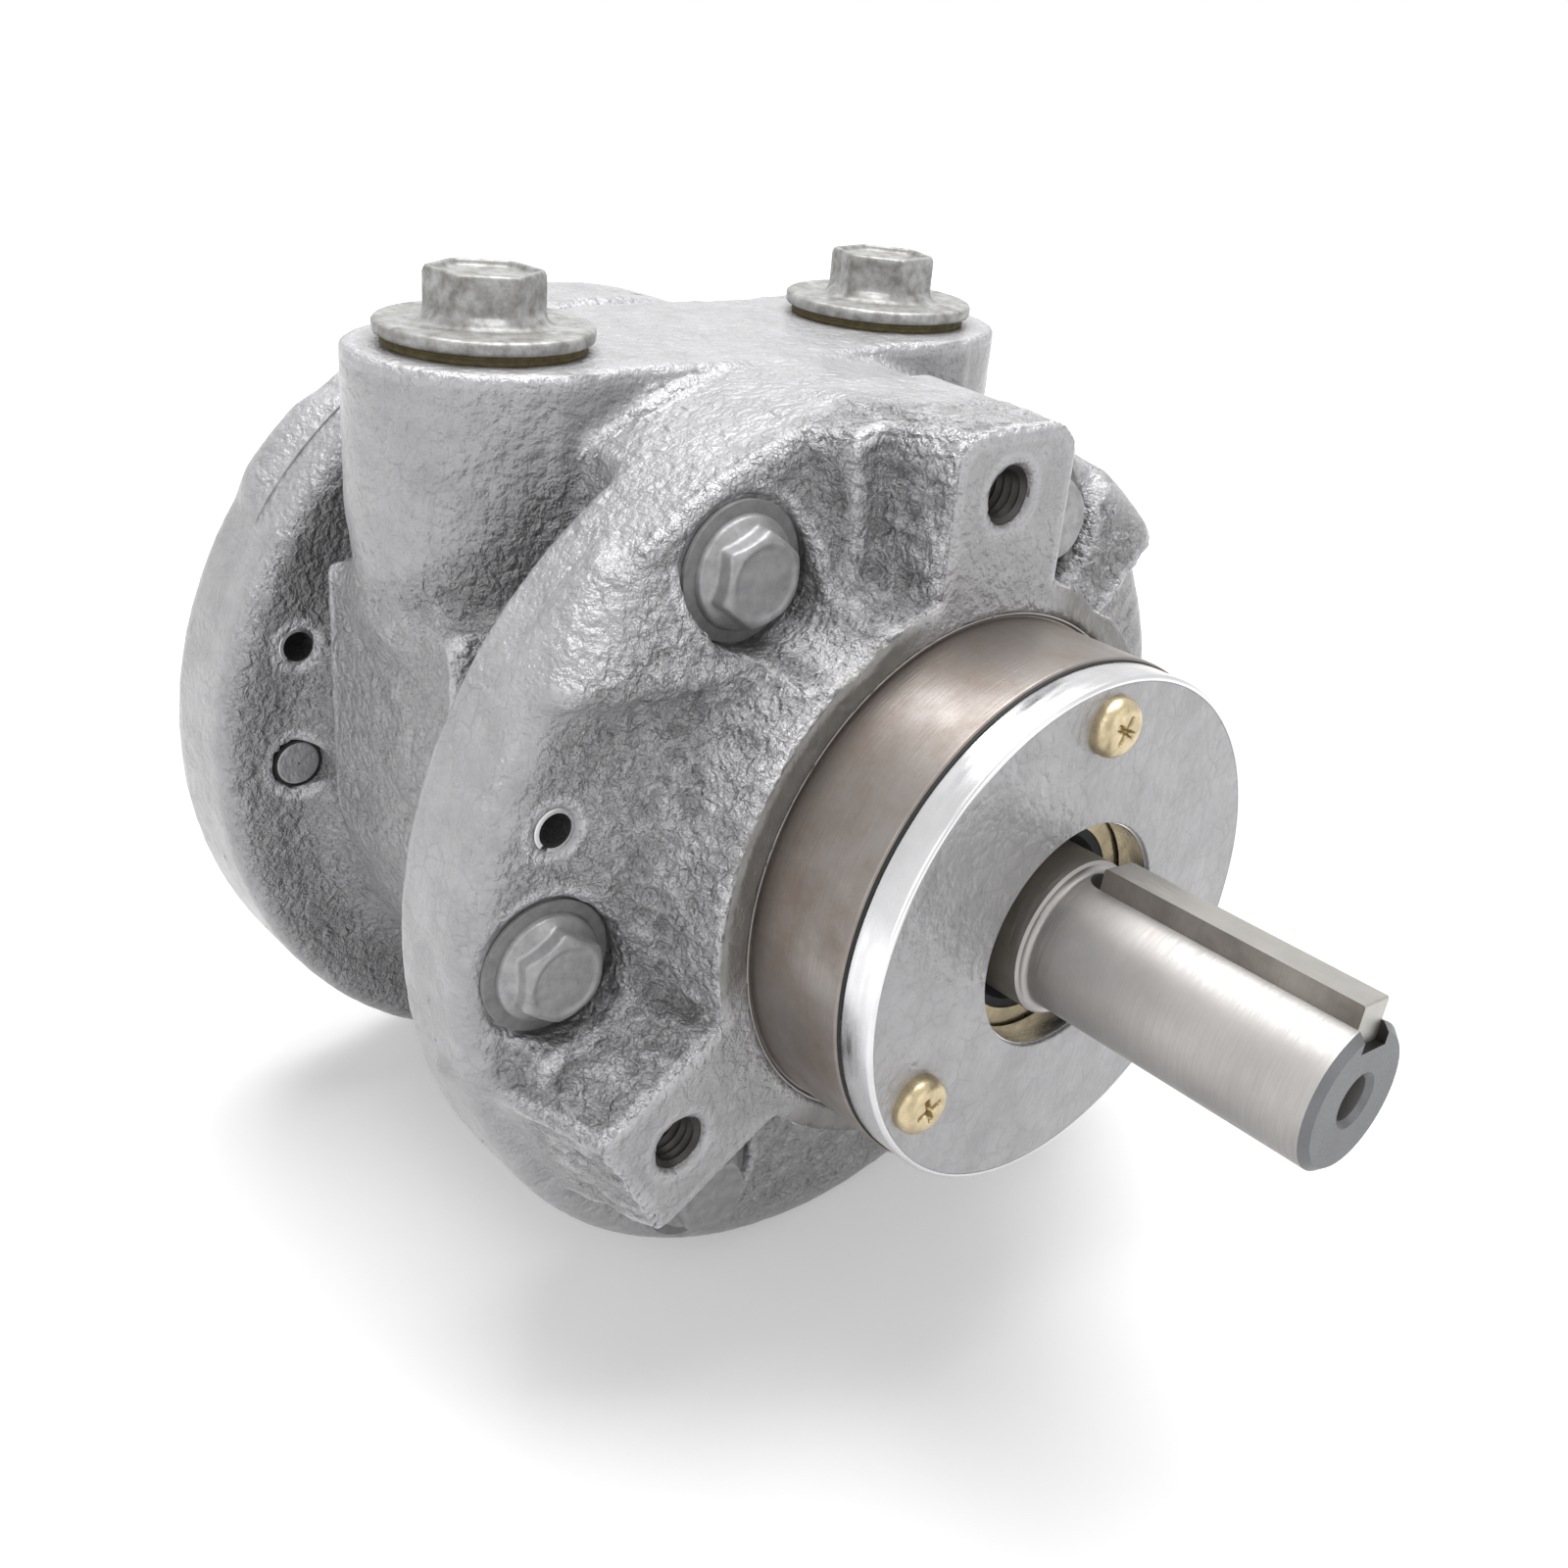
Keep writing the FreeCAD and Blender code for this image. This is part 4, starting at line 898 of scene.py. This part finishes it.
class MotorFinishSettings(bpy.types.PropertyGroup):
    """Colours and mesh sizes of the motor's pieces."""
    paint: bpy.props.FloatVectorProperty(
        name="Paint", description="Hammered paint on the castings", subtype="COLOR",
        default=(0.435, 0.43, 0.442), min=0.0, max=1.0)
    # Colour of the painted shade in the hollows, in the low parts of the skin and in the creases
    painted_shade: bpy.props.FloatVectorProperty(
        name="Shade_colour", description="Paint colour in the hollows", subtype="COLOR",
        default=(0.13, 0.132, 0.135), min=0.0, max=1.0)
    plating: bpy.props.FloatVectorProperty(
        name="Yellow plating", description="Screws and seal case", subtype="COLOR",
        default=(0.60, 0.50, 0.32), min=0.0, max=1.0)
    skin_depth: bpy.props.FloatProperty(
        name="Skin depth", description="Height of the castings' rough skin",
        default=0.00055, min=0.0, max=0.001, unit="LENGTH", precision=5)
    mesh_step: bpy.props.FloatProperty(
        name="Mesh step", description="Distance between the drive plate's mesh points",
        default=0.00078, min=0.0005, max=0.003, unit="LENGTH", precision=5)


class MotorStageSettings(bpy.types.PropertyGroup):
    """Camera and light of the studio view."""
    lens: bpy.props.FloatProperty(
        name="Lens", description="Focal length on a 36 mm sensor", default=37.22, min=20.0,
        max=200.0, unit="CAMERA")
    key: bpy.props.FloatProperty(
        name="Key light", description="Power of the large light overhead, in watts",
        default=5.4, min=0.0, max=50.0)
    fill: bpy.props.FloatProperty(
        name="Fill light", description="Power of the soft light beside the camera, in watts",
        default=0.9, min=0.0, max=50.0)


finishes = {}


def finish(name):
    """Material of the motor by its short name, made when first asked for."""
    if name in finishes:
        return finishes[name]
    settings = bpy.context.scene.motor_finish
    gold = tuple(settings.plating)
    looks = {
        "paint": (casting_paint, settings),
        "hub": (bare_casting, "turned_iron_hub", (0.29, 0.265, 0.25), (0.2, 0.165, 0.14)),
        "seat": (matt, "spotface", (0.27, 0.27, 0.272), (0.19, 0.19, 0.192), 2.0, 0.5),
        "dowel": (ground_steel, "spring_dowel", (0.62, 0.62, 0.63), 0.3, (1, 1, 1)),
        # Near-black iron: painted shade inside the pad holes' threads and in the shaft's keyway
        "recess_shade": (bare_casting, "recess_shade_iron", (0.075, 0.072, 0.068), (0.03, 0.028, 0.026)),
        "iron": (bare_casting, "machined_iron", (0.26, 0.25, 0.24), (0.2, 0.18, 0.16)),
        "steel": (ground_steel, "ground_shaft", (0.41, 0.395, 0.385), 0.48),
        "shaft_end": (ground_steel, "faced_end", (0.165, 0.168, 0.176), 0.42, (1, 1, 1)),
        "key": (ground_steel, "key_steel", (0.46, 0.445, 0.415), 0.4, (0.05, 1.0, 1.0)),
        # The key's sides darker than its top: painted shade, over a brownish tone
        "key_shaded_side": (bare_casting, "key_shaded_side", (0.25, 0.23, 0.21), (0.15, 0.135, 0.12), 0.5),
        "bright": (ground_steel, "bright_rim", (0.72, 0.72, 0.73), 0.24, (0.3, 0.04, 0.04)),
        "bolt": (plated, "painted_bolt", (0.375, 0.373, 0.38), (0.27, 0.27, 0.275), 0.4, 0.4),
        "plug": (plated, "painted_plug", (0.42, 0.42, 0.415), (0.2, 0.195, 0.18), 0.42, 0.35),
        "gold": (plated, "yellow_plating", gold, tuple(0.7 * c for c in gold), 0.3),
        "race": (ground_steel, "race_steel", (0.66, 0.66, 0.67), 0.15),
        "brass": (plated, "cage_brass", (0.60, 0.44, 0.2), (0.45, 0.32, 0.14), 0.35),
        "vane": (matt, "vane_laminate", (0.19, 0.10, 0.05), (0.11, 0.06, 0.035)),
        "fibre": (matt, "gasket_fibre", (0.16, 0.13, 0.06), (0.09, 0.075, 0.04)),
        # Black: the seals' rubber and the cover gasket's edge, and painted shade in the joint,
        # round the bolt ends and in the dowels' bores
        "rubber_and_shade": (matt, "seal_rubber", (0.018, 0.018, 0.018), (0.03, 0.03, 0.03), 0.6, 0.6),
    }
    maker, *values = looks[name]
    finishes[name] = maker(*values)
    return finishes[name]


def stand_for(piece, body, slot, *nodes):
    """Fix a piece to its body and hide the nodes that it replaces; slot is not used."""
    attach(piece, body)
    if nodes:
        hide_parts(*nodes)


def fitted(name, profile, look, slot, segments, centre=(0.0, 0.0), along="X", gap=None, nodes=()):
    """Turn a piece of the housing, give it its finish and hide the nodes that it replaces."""
    piece = turned(name, profile, finish(look), segments, centre, along, gap)
    stand_for(piece, "housing", slot, *nodes)


def netted(name, field, low, high, step, look):
    """Object of a field's zero surface, to be copied and then removed."""
    points, quads = surface_net(field, low, high, step)
    return mesh_object(name, points, quads, finish(look))


def coated(mesh, *looks):
    """Give a mesh these finishes in place of its own."""
    mesh.materials.clear()
    for look in looks:
        mesh.materials.append(finish(look))


def shared(name, source, place, turn=(0, 0, 0)):
    """Copy of a mesh, turned about its origin and set down at a place in millimetres."""
    mesh = source.copy()
    move = Matrix.Translation(Vector(place) * MM) @ Euler(turn).to_matrix().to_4x4()
    mesh.transform(move)
    piece = bpy.data.objects.new(name, mesh)
    bpy.context.scene.collection.objects.link(piece)
    return piece


class MOTOR_OT_body(bpy.types.Operator):
    """Cast the motor body with its flanges, deck and port bosses"""
    bl_idname = "motor.cast_body"
    bl_label = "Motor body"

    def execute(self, context):
        settings = context.scene.motor_finish
        depth = settings.skin_depth / MM
        casting("body_casting", body_field, (BODY_REAR, -76, -83), (BODY_FRONT, 76, 70), 1.12,
                body_roughness, depth, ((BODY_REAR, 1), (BODY_FRONT, -1)),
                ("motor_body", "body_drive_flange", "body_rear_flange"))
        casting("parting_flash", flash_field, (-52, -42, 54), (-46, -15, 70), 0.4,
                lambda x, y, z: 0.5 + 0 * x, depth)
        # A black band in the joint between body and drive plate: painted shade in the crack
        fitted("joint_crack", band(BODY_FRONT - 0.08, BODY_FRONT + 0.1, RIM_RADIUS - 0.3,
                                   RIM_RADIUS + 0.14),
               "rubber_and_shade", "painted_housing", 24, (0, BORE_Z), gap=(322.5, 343))
        return {"FINISHED"}


class MOTOR_OT_drive_plate(bpy.types.Operator):
    """Cast the drive end plate, turn its hub and tap its mounting holes"""
    bl_idname = "motor.cast_drive_plate"
    bl_label = "Drive end plate"

    def execute(self, context):
        settings = context.scene.motor_finish
        casting("drive_plate_casting", drive_plate_field, (BODY_FRONT, -78, -83), (0, 78, 76),
                settings.mesh_step / MM, drive_plate_roughness, settings.skin_depth / MM,
                ((BODY_FRONT, 1),), ("drive_end_plate",), drive_plate_wear, 0.78)
        foot = HUB_RADIUS + 0.9
        fitted("turned_hub", [(-3, HUB_BORE, 0), (-3, foot, 0), (-0.5, foot, 0),
                              (-0.5, HUB_RADIUS, 0), (HUB_END, HUB_RADIUS, 0.5),
                              (HUB_END, HUB_BORE, 0)], "hub", "painted_housing", 220)
        fitted("hub_foot_line", [(-1, HUB_RADIUS + 0.2, 0), (-1, foot, 0), (-0.05, foot, 0.1),
                                 (-0.05, HUB_RADIUS + 0.62, 0.1), (-0.7, HUB_RADIUS + 0.2, 0)],
               "steel", "painted_housing", 220)
        for k, centre in enumerate(PAD_HOLES, 1):
            profile = [(-0.9, 4.75, 0), (-0.9, 4.3, 0)]
            for turn in range(THREAD_TURNS):
                profile += [(-1.5 - THREAD_PITCH * turn, 3.55, 0),
                            (-1.5 - THREAD_PITCH * (turn + 0.5), 4.3, 0)]
            profile += [(profile[-1][0], 4.75, 0)]
            # The threads are near-black: painted shade inside the holes
            fitted("pad_thread_%d" % k, profile, "recess_shade", "painted_housing", 64, centre)
        return {"FINISHED"}


class MOTOR_OT_rear_plate(bpy.types.Operator):
    """Cast the rear end plate"""
    bl_idname = "motor.cast_rear_plate"
    bl_label = "Rear end plate"

    def execute(self, context):
        settings = context.scene.motor_finish
        casting("rear_plate_casting", rear_plate_field, (REAR_BOSS_X, -78, -83),
                (BODY_REAR, 78, 72), 1.1, rear_plate_roughness, settings.skin_depth / MM,
                ((BODY_REAR, -1),), ("rear_end_plate",))
        return {"FINISHED"}


class MOTOR_OT_cover(bpy.types.Operator):
    """Turn the bearing cover and fit its gasket and its three screws"""
    bl_idname = "motor.turn_cover"
    bl_label = "Bearing cover"

    def execute(self, context):
        fitted("cover_face", [(COVER_FRONT - 0.9, 18.2, 0), (COVER_FRONT - 0.9, 40.2, 0),
                              (COVER_FRONT, 40.2, 0.35), (COVER_FRONT, 18.2, 0.3)],
               "paint", "painted_housing", 220, nodes=("bearing_cover",))
        fitted("cover_rim", [(COVER_BACK, 18.0, 0), (COVER_BACK, COVER_RADIUS, 0.25),
                             (COVER_FRONT, COVER_RADIUS, 0.6), (COVER_FRONT, 40.1, 0),
                             (COVER_FRONT - 0.8, 40.0, 0), (COVER_FRONT - 0.8, 18.0, 0)],
               "bright", "painted_housing", 220)
        fitted("cover_gasket_edge", band(HUB_END - 0.3, COVER_BACK + 0.15, 38.0,
                                         COVER_RADIUS + 0.2),
               "rubber_and_shade", "gasket_fibre", 220, nodes=("cover_gasket",))
        head = netted("screw_head_source", screw_field, (-0.4, -4.6, -4.6), (2.9, 4.6, 4.6), 0.22,
                      "gold")
        for k in range(3):
            node = "cover_screw_%d" % (k + 1)
            _, y, z = middle(node)
            piece = shared("screw_head_%d" % (k + 1), head.data, (COVER_FRONT, y, z),
                           (math.radians((62, 20, -34)[k]), 0, 0))
            stand_for(piece, "housing", "yellow_zinc", node)
        bpy.data.objects.remove(head)
        return {"FINISHED"}


class MOTOR_OT_bolts(bpy.types.Operator):
    """Forge the flanged bolts of both end plates, cut their seats and press in the dowels"""
    bl_idname = "motor.fit_bolts"
    bl_label = "Plate bolts"

    def execute(self, context):
        source = netted("bolt_source", bolt_field, (-0.3, -8.7, -8.7), (5.3, 8.7, 8.7), 0.36,
                        "bolt")
        for end, seat, out, joint in (("drive", SPOTFACE_X, 1, BODY_FRONT),
                                      ("rear", REAR_SEAT_X, -1, BODY_REAR)):
            inner = joint - out * FLANGE
            for k, turn in enumerate((12, 40, -8, -3, 25, 50)):
                node = "%s_plate_bolt_%d" % (end, k + 1)
                _, y, z = middle(node)
                piece = shared("%s_bolt_%d" % (end, k + 1), source.data, (seat, y, z),
                               (math.radians(turn + 30), 0, 0 if out > 0 else math.pi))
                stand_for(piece, "housing", "zinc_steel", node)
                fitted("%s_seat_%d" % (end, k + 1),
                       band(seat - 0.7 * out, seat + 0.02 * out, BOLT_RADIUS + 0.4,
                            SPOTFACE - 0.1, (0, 0.15)), "seat", "painted_housing", 72, (y, z))
                fitted("%s_bolt_tip_%d" % (end, k + 1),
                       band(inner + 2 * out, inner - 0.25 * out, 0.2, BOLT_RADIUS, (0, 0.5)),
                       "paint", "zinc_steel", 40, (y, z))
                # A black ring round each bolt end: painted shade in the gap of its hole
                fitted("%s_tip_gap_shade_%d" % (end, k + 1),
                       band(inner + 2 * out, inner - 0.12 * out, BOLT_RADIUS, BOLT_RADIUS + 0.4),
                       "rubber_and_shade", "zinc_steel", 40, (y, z))
            for k in range(2):
                node = "%s_plate_dowel_%d" % (end, k + 1)
                _, y, z = middle(node)
                rim = math.hypot(y, z - BORE_Z)
                face = REAR_FACE
                if out > 0:
                    face = PLATE_FACE - FACE_FALL * (rim - FALL_START) / FALL_REACH
                fitted("%s_dowel_%d" % (end, k + 1),
                       band(face - 0.1 * out, inner - 0.15 * out, DOWEL_BORE, DOWEL_RADIUS,
                            (0.2, 0.2)),
                       "dowel", "zinc_steel", 60, (y, z), gap=(232, 22), nodes=(node,))
                middle_x = (face + inner) / 2
                # A black plug in each dowel's bore: painted shade inside the hollow dowel
                fitted("%s_dowel_core_%d" % (end, k + 1),
                       band(middle_x - 4, middle_x + 4, 0.1, DOWEL_BORE + 0.05),
                       "rubber_and_shade", "zinc_steel", 32, (y, z))
        bpy.data.objects.remove(source)
        return {"FINISHED"}


class MOTOR_OT_plugs(bpy.types.Operator):
    """Make the two port plugs and their gaskets"""
    bl_idname = "motor.fit_plugs"
    bl_label = "Port plugs"

    def execute(self, context):
        source = netted("plug_source", plug_field, (-17, -17, -5), (17, 17, 10), 0.5, "plug")
        for side, turn in (("left", 32.0), ("right", 10.0)):
            x, y, _ = middle("port_plug_" + side)
            low, high = span("plug_gasket_" + side, 2)
            piece = shared("plug_" + side, source.data, (x, y, high),
                           (0, 0, math.radians(turn + 30)))
            stand_for(piece, "housing", "painted_housing", "port_plug_" + side)
            fitted("gasket_" + side, [(low, 13.2, 0), (low, 15.9, 0.3),
                                      ((low + high) / 2, 15.45, 0), (high, 15.9, 0.3),
                                      (high, 13.2, 0)],
                   "fibre", "gasket_fibre", 96, (x, y), "Z", nodes=("plug_gasket_" + side,))
        bpy.data.objects.remove(source)
        return {"FINISHED"}


class MOTOR_OT_shaft(bpy.types.Operator):
    """Give the imported shaft, its keyway, its end and its key their finishes"""
    bl_idname = "motor.turn_shaft"
    bl_label = "Shaft and key"

    def execute(self, context):
        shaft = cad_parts["shaft"].data
        coated(shaft, "steel", "shaft_end", "recess_shade")
        out_y, out_z = polar(1.0, KEY_ANGLE)
        for polygon in shaft.polygons:
            x, y, z = polygon.center / MM
            out, side = y * out_y + z * out_z, y * out_z - z * out_y
            # The keyway's faces are near-black: painted shade beside the key
            if x > KEYWAY_START and abs(side) < 3.1 and 7.0 < out < 10.5:
                polygon.material_index = 2
            elif x > SHAFT_END - 1.2 and polygon.normal.x > 0.5:
                polygon.material_index = 1
        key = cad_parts["shaft_key"].data
        coated(key, "key", "key_shaded_side")
        for polygon in key.polygons:
            across = polygon.normal.y * out_z - polygon.normal.z * out_y
            # Sides darker than the top: painted shade
            polygon.material_index = int(abs(across) > 0.9)
        return {"FINISHED"}


class MOTOR_OT_inside(bpy.types.Operator):
    """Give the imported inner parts, the seal and the end cap their finishes"""
    bl_idname = "motor.finish_inside"
    bl_label = "Inner parts"

    def execute(self, context):
        rules = (("rotor", "iron"), ("vane_", "vane"), ("bearing_cage", "brass"),
                 ("_bearing_", "race"), ("seal_case", "gold"), ("seal_lip", "rubber_and_shade"),
                 ("end_cap_seal", "rubber_and_shade"), ("end_cap", "bolt"))
        for name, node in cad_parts.items():
            for part, look in rules:
                if part in name:
                    coated(node.data, look)
                    break
        return {"FINISHED"}


class MOTOR_OT_stage(bpy.types.Operator):
    """Set the floor, the soft studio light and the camera"""
    bl_idname = "motor.set_stage"
    bl_label = "Stage"

    def execute(self, context):
        scene = context.scene
        settings = scene.motor_stage
        scene.view_settings.view_transform = "Standard"
        world = bpy.data.worlds.new("studio")
        scene.world = world
        world.use_nodes = True
        nodes, links = world.node_tree.nodes, world.node_tree.links
        back = nodes["Background"]
        back.inputs["Color"].default_value = (1, 1, 1, 1)
        strength = nodes.new("ShaderNodeMapRange")
        strength.inputs["To Min"].default_value = 0.34
        strength.inputs["To Max"].default_value = 1.0
        links.new(direct_rays(world.node_tree), strength.inputs["Value"])
        links.new(strength.outputs[0], back.inputs["Strength"])
        floor_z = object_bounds()[0][2]
        points = [(-9, -9, floor_z), (9, -9, floor_z), (9, 9, floor_z), (-9, 9, floor_z)]
        floor = mesh_object("floor", [[c / MM for c in p] for p in points], [(0, 1, 2, 3)],
                            floor_finish())
        floor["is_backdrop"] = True
        for name, place, size, power in (
                ("overhead_light", (-0.10, 0.05, 0.62), 0.55, settings.key),
                ("camera_light", (0.10, -0.62, 0.30), 0.5, settings.fill),
                ("shaft_light", (0.62, 0.12, 0.25), 0.5, settings.fill * 0.7)):
            lamp = bpy.data.lights.new(name, "AREA")
            lamp.energy = power
            lamp.size = size
            lamp_object = bpy.data.objects.new(name, lamp)
            lamp_object.location = place
            aim = Vector((-0.03, 0, 0)) - Vector(place)
            lamp_object.rotation_euler = aim.to_track_quat("-Z", "Y").to_euler()
            scene.collection.objects.link(lamp_object)
        camera = bpy.data.cameras.new("photo_camera")
        camera.lens = settings.lens
        camera.sensor_width = 36
        camera.clip_start = 0.01
        turn, lift, roll = (math.radians(angle) for angle in CAMERA_ANGLES)
        away = Vector((math.sin(turn) * math.cos(lift), -math.cos(turn) * math.cos(lift),
                       math.sin(lift)))
        right = (-away).cross(Vector((0, 0, 1))).normalized()
        up = right.cross(-away)
        across = right * math.cos(roll) + up * math.sin(roll)
        above = up * math.cos(roll) - right * math.sin(roll)
        view = Matrix((across, above, away)).transposed().to_4x4()
        view.translation = Vector(CAMERA_PLACE)
        camera_object = bpy.data.objects.new("photo_camera", camera)
        camera_object.matrix_world = view
        scene.collection.objects.link(camera_object)
        scene.camera = camera_object
        return {"FINISHED"}


def direct_rays(tree):
    """Output that is 1 for what the camera sees straight, in a mirror or through glass."""
    path = tree.nodes.new("ShaderNodeLightPath")
    total = path.outputs["Is Camera Ray"]
    for ray in ("Is Glossy Ray", "Is Transmission Ray"):
        either_ray = tree.nodes.new("ShaderNodeMath")
        either_ray.operation = "MAXIMUM"
        tree.links.new(total, either_ray.inputs[0])
        tree.links.new(path.outputs[ray], either_ray.inputs[1])
        total = either_ray.outputs[0]
    return total


def floor_finish():
    """Near-white floor that keeps the shadow and fades to pure white away from the motor."""
    skin = Finish("studio_floor", roughness=0.9, specular=0.1)
    grain = skin.noise(60.0, 2.0)
    color = skin.mix(grain, (0.84, 0.84, 0.845), (0.86, 0.86, 0.86))
    skin.join(color, skin.shader.inputs["Base Color"])
    glow = skin.tree.nodes.new("ShaderNodeEmission")
    total = skin.tree.nodes.new("ShaderNodeAddShader")
    output = skin.tree.nodes["Material Output"]
    away = skin.add("ShaderNodeVectorMath", i0=skin.place)
    away.operation = "LENGTH"
    lift = skin.fit(away.outputs["Value"], 0.15, 0.5, FLOOR_LIFT, 1.0)
    links = skin.tree.links
    links.new(skin.work("MULTIPLY", direct_rays(skin.tree), lift), glow.inputs["Strength"])
    links.new(skin.shader.outputs[0], total.inputs[0])
    links.new(glow.outputs[0], total.inputs[1])
    links.new(total.outputs[0], output.inputs["Surface"])
    return skin.material


STEPS = (MOTOR_OT_stage, MOTOR_OT_body, MOTOR_OT_drive_plate, MOTOR_OT_rear_plate,
         MOTOR_OT_cover, MOTOR_OT_bolts, MOTOR_OT_plugs, MOTOR_OT_shaft, MOTOR_OT_inside)


class MOTOR_PT_panel(bpy.types.Panel):
    """Sizes, colours and steps of the vane motor"""
    bl_idname = "MOTOR_PT_panel"
    bl_label = "Vane motor"
    bl_space_type = "VIEW_3D"
    bl_region_type = "UI"
    bl_category = "Vane motor"

    def draw(self, context):
        column = self.layout.column()
        for settings in (context.scene.motor_finish, context.scene.motor_stage):
            for name in settings.__annotations__:
                column.prop(settings, name)
        for step in STEPS:
            column.operator(step.bl_idname)


CLASSES = (MotorFinishSettings, MotorStageSettings) + STEPS + (MOTOR_PT_panel,)


def register():
    """Add the settings, the operators and the panel."""
    for item in CLASSES:
        bpy.utils.register_class(item)
    bpy.types.Scene.motor_finish = bpy.props.PointerProperty(type=MotorFinishSettings)
    bpy.types.Scene.motor_stage = bpy.props.PointerProperty(type=MotorStageSettings)


def unregister():
    """Remove what register added."""
    del bpy.types.Scene.motor_stage
    del bpy.types.Scene.motor_finish
    for item in reversed(CLASSES):
        bpy.utils.unregister_class(item)


def main():
    """Build every piece in order."""
    register()
    for step in STEPS:
        group, call = step.bl_idname.split(".")
        getattr(getattr(bpy.ops, group), call)()


if __name__ == "__main__":
    main()
